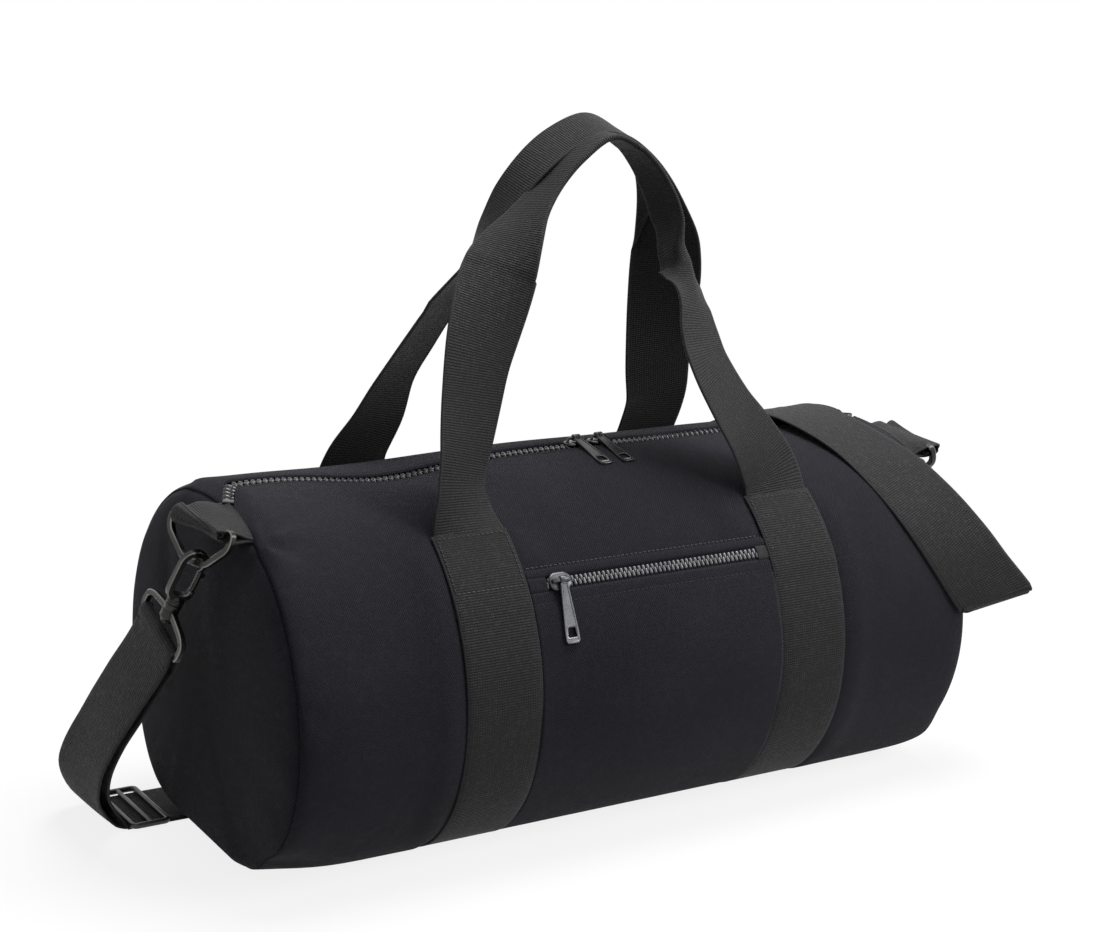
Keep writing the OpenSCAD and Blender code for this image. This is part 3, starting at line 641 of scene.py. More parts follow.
# A closed path through the corners. Each corner is a Bezier arc that starts a cut before it.
def roundedPath(corners, cut, steps):
    c = np.asarray(corners, float)
    before, after = np.roll(c, 1, 0), np.roll(c, -1, 0)
    cut = np.broadcast_to(np.asarray(cut, float), (len(c),))[:, None]
    a, b = c + unit(before - c) * cut, c + unit(after - c) * cut
    t = np.linspace(0, 1, steps)[None, :, None]
    arc = (1 - t) ** 2 * a[:, None] + 2 * t * (1 - t) * c[:, None] + t**2 * b[:, None]
    return arc.reshape(-1, c.shape[1])


# A rounded oblong section as a superellipse: |x/a|^p + |y/b|^p = 1.
def oblong(a, b, power, count):
    t = np.arange(count) / count * fullTurn
    cx, sx = np.cos(t), np.sin(t)
    r = (np.abs(cx) ** power + np.abs(sx) ** power) ** (-1 / power)
    return np.stack([a * r * cx, b * r * sx], -1)


# A square section with its corners cut off. The four cuts are faces 1, 3, 5 and 7.
def cutSquare(a, b, cut):
    return np.array([(a, -b + cut), (a, b - cut), (a - cut, b), (-a + cut, b),
                     (-a, b - cut), (-a, -b + cut), (-a + cut, -b), (a - cut, -b)])


# Marks the narrow cuts of a swept bar for the second material, a paler metal that paints highlight lines
# along its edges, with some rubbed wear.
def paintEdgeHighlights(obj, section):
    count = len(obj.data.polygons)
    sides = np.arange(count) % len(section)
    swept = np.arange(count) < count // len(section) * len(section)
    obj.data.polygons.foreach_set("material_index", ((sides % 2 == 1) & swept).astype(np.int32))


# Carries a section along a flat path: its x goes to the path's side and its y to the plane's normal.
def planarSweep(name, path, origin, ex, ey, section, closed=True, swell=None):
    p = np.asarray(path, float)
    ahead = np.roll(p, -1, 0) - np.roll(p, 1, 0) if closed else np.gradient(p, axis=0)
    ahead = unit(ahead)
    side = np.stack([ahead[:, 1], -ahead[:, 0]], -1)
    scale = np.ones(len(p)) if swell is None else np.asarray(swell, float)
    flat = p[:, None] + side[:, None] * (section[:, 0] * scale[:, None])[..., None]
    normal = np.cross(ex, ey)
    rise = np.broadcast_to((section[:, 1] * scale[:, None])[..., None], flat.shape[:2] + (1,))
    points = np.asarray(origin) + flat[..., :1] * ex + flat[..., 1:] * ey + rise * normal
    n, k = len(p), len(section)
    blocks = [gridFaces(n, k, wrapRows=closed, wrapCols=True)]
    if not closed:
        blocks += endCaps(k, n)
    obj = buildMesh(name, points.reshape(-1, 3), blocks)
    if k == 8:
        paintEdgeHighlights(obj, section)
    return obj


# Turns a profile of radius and height about an axis: radius * (cos t * ex + sin t * ey) + height * ez.
# A closed profile makes a ring, and an open one is capped.
def lathe(name, profile, origin, axes, count, ring=False):
    prof = np.asarray(profile, float)
    t = np.arange(count) / count * fullTurn
    ex, ey, ez = axes
    radial = np.cos(t)[:, None] * ex + np.sin(t)[:, None] * ey
    points = np.asarray(origin) + prof[:, None, :1] * radial[None] + prof[:, None, 1:] * np.asarray(ez)
    n = len(prof)
    blocks = [gridFaces(n, count, wrapRows=ring, wrapCols=True)]
    if not ring:
        blocks += endCaps(count, n)
    return buildMesh(name, points.reshape(-1, 3), blocks)


# Copies one small shape to many places: corner = place + x*along + y*side + z*up.
def scatter(name, template, faces, places, along, side, up):
    n = len(places)
    axes = np.stack([along, side, up], 1)
    points = places[:, None] + np.einsum("kc,ncd->nkd", template, axes)
    shift = (np.arange(n) * len(template))[:, None, None]
    blocks = [(f[None] + shift).reshape(-1, f.shape[1]) for f in faces]
    return buildMesh(name, points.reshape(-1, 3), blocks)


# One piece from the meshes of several.
def joined(name, objects):
    work = bmesh.new()
    for o in objects:
        work.from_mesh(o.data)
    data = bpy.data.meshes.new(name)
    work.to_mesh(data)
    work.free()
    for o in objects:
        bpy.data.objects.remove(o)
    return linked(name, data)


# The shell's surface

# mid is the chain's depth under the shell. The zip turns over the last millimetres of each end.
zipLine = {"leftTurn": 10.0, "rightTurn": -4.0, "turnOver": 14.0, "mid": -2.0}


# Angle of the main zip: 0 along the ridge, turned to the front at the left end and back at the right.
def zipAngle(x):
    straight = shell["seamX"] - zipLine["turnOver"]
    left = zipLine["leftTurn"] * blendStep((-x - straight) / zipLine["turnOver"])
    right = zipLine["rightTurn"] * blendStep((x - straight) / zipLine["turnOver"])
    return left + right


# Section at an offset: a circle above the axis, and below it a quarter ellipse beside a flat base.
def sectionYz(angle, off):
    side = np.where(angle < 0, -1.0, 1.0)
    b = np.abs(angle)
    r = np.radians(b)
    low = r - np.pi / 2
    corner = shell["roundR"] - shell["halfFlat"]
    upper = shell["roundR"] + off
    y = np.where(b <= 90, upper * np.sin(r), shell["halfFlat"] + (corner + off) * np.cos(low))
    z = np.where(b <= 90, upper * np.cos(r), -(shell["drop"] + off) * np.sin(low))
    return -side * y, shell["axisZ"] + z


# One point of the plain section, at x, an angle and an offset.
def sectionSpot(x, angle, off):
    y, z = sectionYz(np.array(float(angle)), np.array(float(off)))
    return np.array([x, float(y), float(z)])


waves = np.random.default_rng(shell["seed"])
waveCount = 14
waveAcross = waves.uniform(-0.05, 0.05, waveCount)
waveRound = waves.uniform(-7, 7, waveCount)
wavePhase = waves.uniform(0, 6.28, waveCount)
waveSize = waves.uniform(0.1, 0.28, waveCount)

# Puckers that start at the end seams: x, angle, size, reach, number of ridges, phase
puckers = {
    "leftTabFront": (-240, 31, 2.3, 15, 5, 0.4), "leftLow": (-241, 78, 1.1, 11, 4, 1.0),
    "rightTabFront": (240, 30, 1.6, 16, 5, 2.0), "leftTabBack": (-241, -16, 1.8, 15, 4, 2.2),
}
# Forms of the cloth in millimetres: the sag beside the zip, the groove along it, the swell over the
# right tab, the pull of the end seams, the dip where the zip ends, and the dent under a band.
cloth = {
    "sag": 7.0, "groove": 1.2, "swell": 6.0, "seamPull": 2.6, "seamFade": 1.2, "endDip": 4.0,
    "crease": 0.7, "dimple": 0.5, "bandDent": 0.9, "bandSwell": 1.1, "pocketDent": 0.5,
    "bellyOut": 1.7, "cornerLift": 4.0, "cornerRound": 4.5, "floorGap": 0.6,
}


# A fan of ridges that start at (x0, a0) and die away with the distance.
def fan(x, a, x0, a0, size, reach, count, phase):
    dx, da = x - x0, (a - a0) * shell["arcPerDegree"]
    r = np.hypot(dx, da) + 1e-6
    return size * np.exp(-r / reach) * np.cos(count * np.arctan2(da, dx) + phase) * blendStep(r / 9)


# How far the cloth stands out from the plain section, in millimetres. It is a sum of bells in x and
# in the angle a, of slow sine waves and of the fans. Bands, base and pocket then press it flat.
def shellOffset(x, a):
    a = np.asarray(a, float)
    x = np.asarray(x, float)
    b = np.abs(a)
    front = a > 0
    edge = shell["seamX"] - np.abs(x)
    o = -cloth["sag"] * hump(x, -130, 50) * hump(a, 3, 21)
    o = o - cloth["groove"] * hump(a, 0, 16)
    o = o + cloth["swell"] * hump(x, 226, 30) * hump(a, -17, 11)
    o = o - cloth["seamPull"] * np.exp(-edge / 3.2) - cloth["seamFade"] * np.exp(-edge / 16)
    o = o - cloth["endDip"] * blendStep((-x - 227) / 15) * hump(a, 8, 24)
    r = np.radians(a)
    sway = np.sin(waveAcross * x[..., None] * 1.2 + waveRound * r[..., None] + wavePhase)
    o = o + (sway * waveSize).sum(-1) * (0.55 + 0.8 * np.exp(-edge / 45))
    for pucker in puckers.values():
        o = o + fan(x, a, *pucker)
    o = o + cloth["crease"] * np.sin(x / 5.2 + 0.03 * a) * hump(x, 74, 26) * hump(a, 44, 7)
    o = o + cloth["dimple"] * np.sin(x / 9 + 1.0) * hump(x, -40, 40) * hump(a, 25, 12)
    for bandX in (-band["x"], band["x"]):
        fromBand = np.abs(x - bandX)
        pressed = blendStep((28 - fromBand) / 5) * blendStep((b - 33) / 6)
        o = o * (1 - 0.75 * pressed) - cloth["bandDent"] * pressed
        o = o + cloth["bandSwell"] * hump(fromBand, 36, 9) * blendStep((b - 36) / 10)
    under = blendStep((b - 118) / 26) * blendStep((np.abs(x) - 139) / 6)
    o = o * (1 - 0.9 * blendStep((b - 125) / 20))
    o = o + cloth["bellyOut"] * under * (1 - np.exp(-edge / 14))
    lifted = cloth["cornerLift"] * blendStep((b - np.where(front, 125, 150)) / 30)
    rounded = cloth["cornerRound"] * front * hump(b, 148, 15) * blendStep((180 - b) / 28)
    o = o - (lifted + rounded) * hump(edge, 0, 30) * (x < 0)
    inPocket = blendStep((90 - np.abs(x)) / 4) * blendStep((b - 48) / 4) * front
    return o * (1 - 0.85 * inPocket) - cloth["pocketDent"] * inPocket


# A point of the cloth at x and the angle, moved out by off and kept just over the floor.
def shellPoint(x, a, off):
    o = off + shellOffset(x, a)
    y, z = sectionYz(a, o)
    return np.stack(np.broadcast_arrays(x, y, np.maximum(z, cloth["floorGap"])), -1)


# Length round the section from the ridge: the circle's arc, then the lower part's mean radius.
def aroundLength(a):
    b = np.abs(a)
    meanRadius = 88.0
    up = np.radians(np.minimum(b, 90)) * shell["roundR"]
    low = np.radians(np.maximum(b - 90, 0)) * meanRadius
    return np.sign(a) * (up + low)


# Columns from the front lip of the zip slot, under the base and up to the rear lip. The slot's
# turn at both ends fades out 70 degrees away from the ridge.
def bodyAngles(x):
    lip = np.degrees(shell["lipY"] / shell["roundR"])
    near = lip + np.array([0.0, 0.12, 0.3, 0.6, 1.0, 1.35, 1.7, 2.05, 2.4, 3.0, 4.0, 5.0])
    wide = np.linspace(lip + 6.5, 180, 98)
    half = np.concatenate([near, wide])
    a = np.concatenate([half, 360 - half[-2::-1]])
    a = np.where(a > 180, a - 360, a)
    turn = zipAngle(x)[:, None] * blendStep((75 - np.abs(a)) / 70)[None]
    return a[None] + turn, np.abs(a)[None] - lip


# The wrapped panel: a grid of x and the angle, with rows closer together near the seams. The lips
# of the slot roll in, and a groove marks the stitching beside them.
def makeBody(look):
    t = np.linspace(-1, 1, shell["rows"])
    crowd = np.pi / 2 * 0.62
    x = shell["seamX"] * np.sin(t * crowd) / np.sin(crowd)
    a, fromLip = bodyAngles(x)
    lip = -1.7 * np.exp(-(fromLip / 0.22) ** 2)
    stitched = -0.45 * hump(fromLip, 1.7, 0.32)
    xx = np.broadcast_to(x[:, None], a.shape)
    points = shellPoint(xx, a, np.broadcast_to(lip + stitched + shell["wall"], a.shape))
    blocks = [gridFaces(*a.shape)]
    uv = np.stack([xx, aroundLength(np.where(a < -179.9, 180.0, a))], -1).reshape(-1, 2)
    obj = buildMesh("bodyPanel", points.reshape(-1, 3), blocks, cornerUv(blocks, uv), recalc=False)
    addWall(obj)
    return dress(obj, look["shell"], "bag", ["body_panel"])


ends = {"rings": 34, "around": 200, "drag": 1.5, "fold": 1.4, "soft": 0.8, "foot": 9.0}


# End panel: rings shrink from the seam to the middle, and x rises by crown * sqrt(1 - scale^3). Added
# to x are ripples near the seam, a drag line from the tab, a fold, slow waves and a roll at the foot.
def makeEndPanel(side, look):
    s = np.concatenate([np.linspace(1, 0.9, 9), np.linspace(0.87, 0.03, ends["rings"])])[:, None]
    a = np.linspace(-180, 180, ends["around"], endpoint=False)[None]
    rim = shellPoint(np.full(a.shape, side * shell["seamX"]), a, -0.1)[0]
    midZ = shell["axisZ"] + (shell["roundR"] - shell["drop"]) / 2
    y = rim[None, :, 1] * s
    z = midZ + (rim[None, :, 2] - midZ) * s
    depth = (1 - s) * shell["roundR"]
    bulge = shell["crown"] * np.sqrt(1 - s**3) - 1.2 + 1.2 * (1 - np.exp(-depth / 3))
    r = np.radians(a)
    waved = 0.55 * np.sin(9 * r + side) + 0.4 * np.sin(14 * r + 2)
    ripple = np.exp(-depth / 30) * waved * (1 - np.exp(-depth / 6))
    inner = 1 - np.exp(-depth / 8)
    drag = ends["drag"] * hump(y, -30 + 0.22 * (z - 120), 16) * hump(z, 175, 55) * inner
    fold = -ends["fold"] * hump(y, 40 + 0.15 * (z - 120), 10) * hump(z, 150, 50) * inner
    soft = ends["soft"] * np.sin(y / 21 + 1) * np.sin(z / 33) * (1 - np.exp(-depth / 12))
    low = ends["foot"] * np.exp(-z / 32) * hump(y, -20, 62) * (1 - np.exp(-depth / 4))
    x = side * (shell["seamX"] + bulge + ripple + drag + fold + soft + low - 0.6)
    points = np.stack(np.broadcast_arrays(x, y, z), -1)
    n, k = points.shape[:2]
    flat = np.vstack([points.reshape(-1, 3), points[-1].mean(0, keepdims=True)])
    j = np.arange(k)
    tip = np.stack([(n - 1) * k + j, (n - 1) * k + (j + 1) % k, np.full(k, n * k)], -1)
    blocks = [gridFaces(n, k, wrapCols=True), tip]
    if side > 0:
        blocks = [b[:, ::-1] for b in blocks]
    word = sideWord(side)
    obj = buildMesh(word + "EndPanel", flat, blocks, cornerUv(blocks, flat[:, 1:]), recalc=False)
    addWall(obj)
    return dress(obj, look["shell"], "bag", [word + "_end_panel"])


# A strip on the shell between two edges, each given by angle, with its own top and under sides.
# over and under give the offsets of both faces as functions of x and of t, from 0 to 1 across it.
def shellStrip(name, x, angles, over, under, lift=None):
    t = np.linspace(0, 1, angles.shape[-1])[None]
    xx = np.broadcast_to(x[:, None], angles.shape)
    base = shellOffset(xx, angles) if lift is None else lift(xx, angles)
    faces = []
    for off in (over(xx, t), under(xx, t)):
        y, z = sectionYz(angles, np.broadcast_to(off, angles.shape) + base)
        faces.append(np.stack([xx, y, z], -1))
    n, m = angles.shape
    points = np.concatenate([faces[0], faces[1][:, ::-1]], 1)
    k = np.arange(m - 1)
    cap = np.stack([k, k + 1, 2 * m - 2 - k, 2 * m - 1 - k], -1)
    blocks = [gridFaces(n, 2 * m, wrapCols=True), cap[:, ::-1], cap + (n - 1) * 2 * m]
    around = aroundLength(angles)
    uv = np.stack([np.concatenate([xx, xx[:, ::-1]], 1), np.concatenate([around, around[:, ::-1]], 1)], -1)
    return buildMesh(name, points.reshape(-1, 3), blocks, cornerUv(blocks, uv.reshape(-1, 2)))


# Stitches

stitch = {"length": 2.3, "gap": 0.9, "width": 0.62, "height": 0.42}


# One stitch: three squares along its length, the middle one full size, closed by a point at each end.
def stitchShape():
    stations = np.array([-0.5, -0.33, 0.0, 0.33, 0.5])
    swell = np.array([0.15, 0.85, 1.0, 0.85, 0.15])
    square = np.array([[0, 1], [1, 0], [0, -1], [-1, 0]]) / 2
    x = np.repeat(stations * stitch["length"], 4)
    y = (square[None, :, 0] * swell[:, None]).ravel() * stitch["width"]
    z = (square[None, :, 1] * swell[:, None]).ravel() * stitch["height"]
    faces = [gridFaces(5, 4, wrapCols=True), np.array([[3, 2, 1, 0], [16, 17, 18, 19]])]
    return np.stack([x, y, z], -1), faces


# Stitches at equal steps along a line of points, with the cloth's outward direction at each.
def stitchRow(name, line, out):
    run = lengthAlong(line)
    step = stitch["length"] + stitch["gap"]
    at = np.arange(step / 2, run[-1] - step / 4, step)
    places = readAlong(at, run, line)
    heading = unit(readAlong(at, run, np.gradient(line, run, axis=0)))
    up = unit(readAlong(at, run, out))
    side = unit(np.cross(up, heading))
    up = np.cross(heading, side)
    template, faces = stitchShape()
    return scatter(name, template, faces, places, heading, side, up)


# Stitches on the cloth, along x and the angle at an offset.
def onShellRow(name, x, a, off):
    line = shellPoint(x, a, off)
    out = shellPoint(x, a, off + 1.0) - line
    return stitchRow(name, line, out)


# Zip teeth

tooth = {"pitch": 4.0, "length": 2.7, "height": 3.1}


# One tooth: an eight-sided section in the chain's plane, carried from its head over the neck to
# the tape. The widths are head, neck, shoulder and foot.
def toothShape():
    y = np.array([-0.95, -0.6, 0.5, 1.3, 3.3, 3.9])
    wide = np.array([0.5, 0.82, 0.6, 1.0, 0.98, 0.6])
    tall = np.array([0.5, 0.75, 0.8, 1.0, 0.92, 0.5])
    t = (np.arange(8) + 0.5) / 8 * fullTurn
    ring = np.stack([np.cos(t), np.sin(t)], -1) / np.cos(np.pi / 8) / 2
    x = ring[None, :, 0] * wide[:, None] * tooth["length"]
    z = ring[None, :, 1] * tall[:, None] * tooth["height"]
    points = np.stack([x, np.broadcast_to(y[:, None], x.shape), z], -1).reshape(-1, 3)
    return points, [gridFaces(len(y), 8, wrapCols=True), np.vstack(endCaps(8, len(y)))]


# Both combs of a chain along a line: places step by the pitch, the second comb half a step on.
def zipChain(names, line, across, out, scale=1.0):
    run = lengthAlong(line)
    ahead = np.gradient(line, axis=0)
    hand = np.sign(np.cross(out[0], ahead[0]) @ across)
    template, faces = toothShape()
    pitch = tooth["pitch"] * scale
    made = []
    for side, name, start in zip((-1.0, 1.0), names, (0.5, 1.0)):
        at = np.arange(pitch * start, run[-1] - 1.5, pitch)
        heading = unit(readAlong(at, run, ahead))
        up = unit(readAlong(at, run, out))
        flat = np.cross(up, heading) * side * hand
        places = readAlong(at, run, line)
        made.append(scatter(name, template * scale, faces, places, heading, flat, up))
    return made


# Level offsets for a strip: over and under are the same all over it.
def flatStrip(over, under):
    return (lambda xx, t: over + 0 * t), (lambda xx, t: under + 0 * t)


# The chain lies in the slot, a little under the shell. A tape runs on each side of it, and a row of
# stitches on the shell beside each lip.
def makeMainZip(look):
    x = np.linspace(-239, 239, 240)
    a = zipAngle(x)
    line = shellPoint(x, a, zipLine["mid"] + 1.2)
    out = shellPoint(x, a, 9.0) - line
    names = ["mainZipFrontTeeth", "mainZipRearTeeth"]
    front, rear = zipChain(names, line, yAxis, out)
    dress(front, look["blackMetal"], "bag", ["main_zip_front_teeth"], sharp=50)
    dress(rear, look["blackMetal"], "bag", ["main_zip_rear_teeth"], sharp=50)
    base = shellOffset(x, a)[:, None]
    lip = np.degrees(shell["lipY"] / shell["roundR"])
    over, under = flatStrip(zipLine["mid"] + 0.35, zipLine["mid"] - 0.35)
    for side, word in ((1, "front"), (-1, "rear")):
        angles = a[:, None] + side * np.linspace(1.15, 6.6, 9)[None]
        name = "mainZip" + word.title() + "Tape"
        tape = shellStrip(name, x, angles, over, under, lambda xx, aa: np.broadcast_to(base, xx.shape))
        dress(tape, look["tape"], "bag", ["main_zip_" + word + "_tape"])
        row = onShellRow(word + "LipStitches", x, a + side * (lip + 1.7), -0.3)
        dress(row, look["thread"], "bag")
    makeMainStops(line, out, look)
    paint("pocket_zip_stops", look["toothMetal"])


# A stop at both ends of the chain: a block of 2.8 x 7.2 x 3.2 whose top is drawn in.
def makeMainStops(line, out, look):
    tips = np.array([0, -1])
    heading = unit(np.gradient(line, axis=0))[tips]
    up = unit(out)[tips]
    places = line[tips] + heading * np.array([[1.8], [-1.8]])
    plan = [(-1.4, -3.6), (1.4, -3.6), (1.4, 3.6), (-1.4, 3.6)]
    body = np.array([(px, py, z) for z in (-1.6, 1.6) for px, py in plan])
    cap = body[4:] * np.array([0.7, 0.85, 1.0]) + np.array([0, 0, 0.5])
    faces = [np.array([[3, 2, 1, 0], [8, 9, 10, 11]]), gridFaces(3, 4, wrapCols=True)]
    template = np.vstack([body, cap])
    stops = scatter("mainZipStops", template, faces, places, heading, np.cross(up, heading), up)
    dress(stops, look["blackMetal"], "bag", ["main_zip_stops"], sharp=30)


# Gives a solid that stays as it is its material.
def paint(node, material):
    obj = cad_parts[node]
    if obj.material_slots:
        for s in obj.material_slots:
            s.material = material
    else:
        obj.data.materials.append(material)


# Sliders and pulls

slider = {
    "plan": [(-7.5, -3.4), (-4.5, -5.6), (3.5, -5.6), (7.5, -2.8),
             (7.5, 2.8), (3.5, 5.6), (-4.5, 5.6), (-7.5, 3.4)],
    "post": [(2.4, -0.4), (5.4, -0.4), (5.4, 0.4), (2.4, 0.4)],
    "crown": [(0.5, 2.2), (0, 2.6), (0, 3.3), (0.35, 3.75), (1.2, 4.0), (2.4, 4.1)],  # inset, height
    "sole": [(0.5, -3.5), (0, -3.1), (0, -2.4), (0.5, -2.2)],
    "bail": [(-6.2, 3.6), (-6.1, 5.2), (-5.2, 6.5), (-2.5, 7.0),
             (1.0, 7.0), (3.9, 6.5), (4.9, 5.2), (5.0, 3.6)],
    "bailZ": 6.6, "mainX": (9.5, 26.5), "pocketX": -66.0,
}
pull = {
    "length": 38.0, "top": 2.5, "foot": 4.8, "thick": 1.7, "rim": 0.9,
    "windowAt": -31.5, "windowHalf": (3.1, 2.9), "restTilt": 13.0,
}


# Inward direction in the plane at each point of a closed outline.
def inwardOf(outline):
    ahead = unit(np.roll(outline, -1, 0) - np.roll(outline, 1, 0))
    return np.stack([-ahead[:, 1], ahead[:, 0]], -1)


# Outlines at their heights, carried into space: origin + x * ex + y * ey + height * ez.
def stackRings(rings, origin, axes):
    ex, ey, ez = axes
    return np.concatenate([np.asarray(origin) + p[:, :1] * ex + p[:, 1:] * ey + z * ez for p, z in rings])


# Rings of an outline at given insets and heights, closed at both ends by a flat face.
def stackedOutline(name, outline, steps, origin, axes):
    inward = inwardOf(outline)
    points = stackRings([(outline + inward * inset, z) for inset, z in steps], origin, axes)
    n, k = len(steps), len(outline)
    return buildMesh(name, points, [gridFaces(n, k, wrapCols=True)] + endCaps(k, n))


# A slider: a domed top plate, a sole plate, the post between them and the bail on top. flip is -1
# where it faces the other way.
def makeSlider(name, body, origin, axes, flip, material):
    ex, ey, ez = axes
    axes = (ex * flip, ey, ez)
    plan = roundedPath(slider["plan"], 1.4, 3)
    post = roundedPath(slider["post"], 0.3, 3)
    parts = [stackedOutline(name, plan, slider["crown"], origin, axes),
             stackedOutline(name, plan, slider["sole"], origin, axes),
             stackedOutline(name, post, [(0, -2.8), (0, 2.8)], origin, axes)]
    bail = through(slider["bail"], 5)
    wire = oblong(0.75, 1.25, 3.0, 10)
    parts.append(planarSweep(name, bail, origin, axes[0], ez, wire, closed=False))
    dress(joined(name, parts), material, body, [body], sharp=40)


# The points of an outline in the order of their angle about a centre.
def roundFrom(outline, centre):
    x, y = (outline - centre).T
    return outline[np.argsort(np.arctan2(y, x))]


# A pull hangs from the bail along -y: a plate that widens to its foot, a raised rim round its edge
# and round its window, and a round eye on the bail.
def makePull(name, body, origin, axes, material):
    ex, ey, ez = axes
    tilt = np.radians(pull["restTilt"])
    ey, ez = ey * np.cos(tilt) + ez * np.sin(tilt), ez * np.cos(tilt) - ey * np.sin(tilt)
    top, foot, end = pull["top"], pull["foot"], -pull["length"]
    corners = [(top, -1.6), (-top, -1.6), (-top - 0.6, -9), (-foot, end + 6),
               (-foot, end), (foot, end), (foot, end + 6), (top + 0.6, -9)]
    wx, wy = pull["windowHalf"]
    at = pull["windowAt"]
    window = [(wx * 0.8, at + wy), (-wx * 0.8, at + wy), (-wx, at - wy), (wx, at - wy)]
    centre = np.array([0.0, at])
    outer = roundFrom(roundedPath(corners, [0.6, 0.6, 3, 3, 2.4, 2.4, 3, 3], 5), centre)
    inner = roundFrom(roundedPath(window, 0.9, 10), centre)
    inOuter, inInner = inwardOf(outer), inwardOf(inner)
    h, rim = pull["thick"] / 2, pull["rim"]
    rings = [
        (inner, -h + 0.2), (inner, h - 0.15), (inner - inInner * 0.25, h), (inner - inInner * rim, h),
        (inner - inInner * (rim + 0.3), h - 0.35), (outer + inOuter * (rim + 0.35), h - 0.35),
        (outer + inOuter * rim, h), (outer + inOuter * 0.3, h), (outer, h - 0.3),
        (outer, -h + 0.3), (outer + inOuter * 0.3, -h), (inner - inInner * 0.25, -h)]
    faces = [gridFaces(len(rings), len(outer), wrapRows=True, wrapCols=True)]
    plate = buildMesh(name, stackRings(rings, origin, (ex, ey, ez)), faces)
    tube = [(1.05, -top), (2.0, -top), (2.2, -top + 0.3), (2.2, top - 0.3), (2.0, top), (1.05, top)]
    eye = lathe(name, tube, origin, (ey, ez, ex), 20, ring=True)
    dress(joined(name, [plate, eye]), material, body, [body], sharp=35)


# A slider with its pull: word is Left, Right or nothing, and the pull's pivot is in the bail.
def makeRunner(kind, word, place, axes, flip, material):
    tail = "_" + word.lower() if word else ""
    makeSlider(kind + "Slider" + word, kind + "_slider" + tail, place, axes, flip, material)
    bail = place + axes[2] * slider["bailZ"]
    makePull(kind + "Pull" + word, kind + "_pull" + tail, bail, axes, material)


# The main sliders stand on the crown, the pocket's one on the slope at the pocket's angle.
def makeSliders(look):
    top = shell["axisZ"] + shell["roundR"] + zipLine["mid"]
    for x, word, flip in zip(slider["mainX"], ("Left", "Right"), (1, -1)):
        makeRunner("main", word, np.array([x, 0, top]), (xAxis, yAxis, zAxis), flip, look["blackMetal"])
    r = np.radians(pocket["angle"])
    slope = (xAxis, np.array([0, np.cos(r), np.sin(r)]), np.array([0, -np.sin(r), np.cos(r)]))
    place = sectionSpot(slider["pocketX"], pocket["angle"], 0.0) + slope[2] * pocket["mid"]
    makeRunner("pocket", "", place, slope, 1, look["greyMetal"])


# Front pocket

# Angles down the front: the zip's middle line, the strip over it, and the patches at its ends.
pocket = {
    "angle": 55.5, "mid": 0.4, "halfPanel": 87.8, "zipHalf": 82.0, "stripTop": 49.6, "stripLow": 53.75,
    # The right patch takes the band's webbing, whose darker colour is painted shade.
    "patches": {"Left": (-87.4, -74.8, "shell"), "Right": (79.5, 87.4, "band")},
}


# Offsets that belong to the pocket alone, over the plain section: slack between the bands.
def pocketLift(x, a):
    slack = 1.5 * hump(a, 86, 24) * np.clip(1 - (x / 88.0) ** 4, 0, 1)
    low = blendStep((np.abs(a) - 110) / 25)
    ripple = 0.35 * np.sin(x / 17 + a / 9) + 0.3 * np.sin(x / 31 - a / 6 + 1)
    return (slack + ripple * hump(a, 85, 22)) * (1 - low)


# The lift where nothing is added: 0.
def plainLift(x, a):
    return 0 * x


# A point of the plain section, without the cloth's own forms.
def plainPoint(x, a, off):
    y, z = sectionYz(a, off + 0 * a)
    return np.stack([x, y, z], -1)


# The panel and the strip stand out from the section by their own thickness. Each folded edge rolls
# in over half a degree, and a shallow groove marks its stitching.
def makePocket(look):
    x = np.linspace(-pocket["halfPanel"], pocket["halfPanel"], 90)
    first = pocket["angle"] + 2.0
    foldRows = np.linspace(first, first + 1.2, 6)
    a = np.concatenate([foldRows, np.linspace(first + 1.9, first + 6.5, 9), np.linspace(67, 180, 60)])
    fromTop = (a - first)[None]
    angles = np.broadcast_to(a[None], (len(x), len(a)))
    rolled = 0.9 * np.exp(-(fromTop / 0.4) ** 2) + 0.35 * hump(fromTop, 3.4, 0.35)
    panel = shellStrip("pocketPanel", x, angles, lambda xx, t: 2.15 - rolled + 0 * xx,
                       lambda xx, t: 0.75 - 0.55 * blendStep((fromTop - 3) / 2) + 0 * xx, pocketLift)
    dress(panel, look["shell"], "bag", ["pocket_panel"])
    b = np.linspace(pocket["stripTop"], pocket["stripLow"], 14)
    toEdge = (pocket["stripLow"] - b)[None]
    angles = np.broadcast_to(b[None], (len(x), len(b)))
    rolledLow = 0.9 * np.exp(-(toEdge / 0.35) ** 2) + 0.3 * hump(toEdge, 3.2, 0.3)
    strip = shellStrip("pocketTopStrip", x, angles,
                       lambda xx, t: 0.35 + 1.75 * blendStep(t * 1.6) - rolledLow + 0 * xx,
                       lambda xx, t: 0.1 + 0.8 * blendStep((t - 0.25) * 2) + 0 * xx, plainLift)
    dress(strip, look["shell"], "bag", ["pocket_top_strip"])
    makePocketStitches(first, look)
    makePocketZip(x, look)
    for word, (low, high, finish) in pocket["patches"].items():
        xp = np.linspace(low, high, 10)
        angles = np.linspace(53.3, 57.9, 12)[None] + 0 * xp[:, None]
        patch = shellStrip("pocketZip" + word + "Patch", xp, angles,
                           lambda xx, t: 2.35 - 1.2 * (2 * t - 1) ** 6, lambda xx, t: 0.7 + 0 * t, plainLift)
        dress(patch, look[finish], "bag")
    paint("pocket_lining", look["lining"])


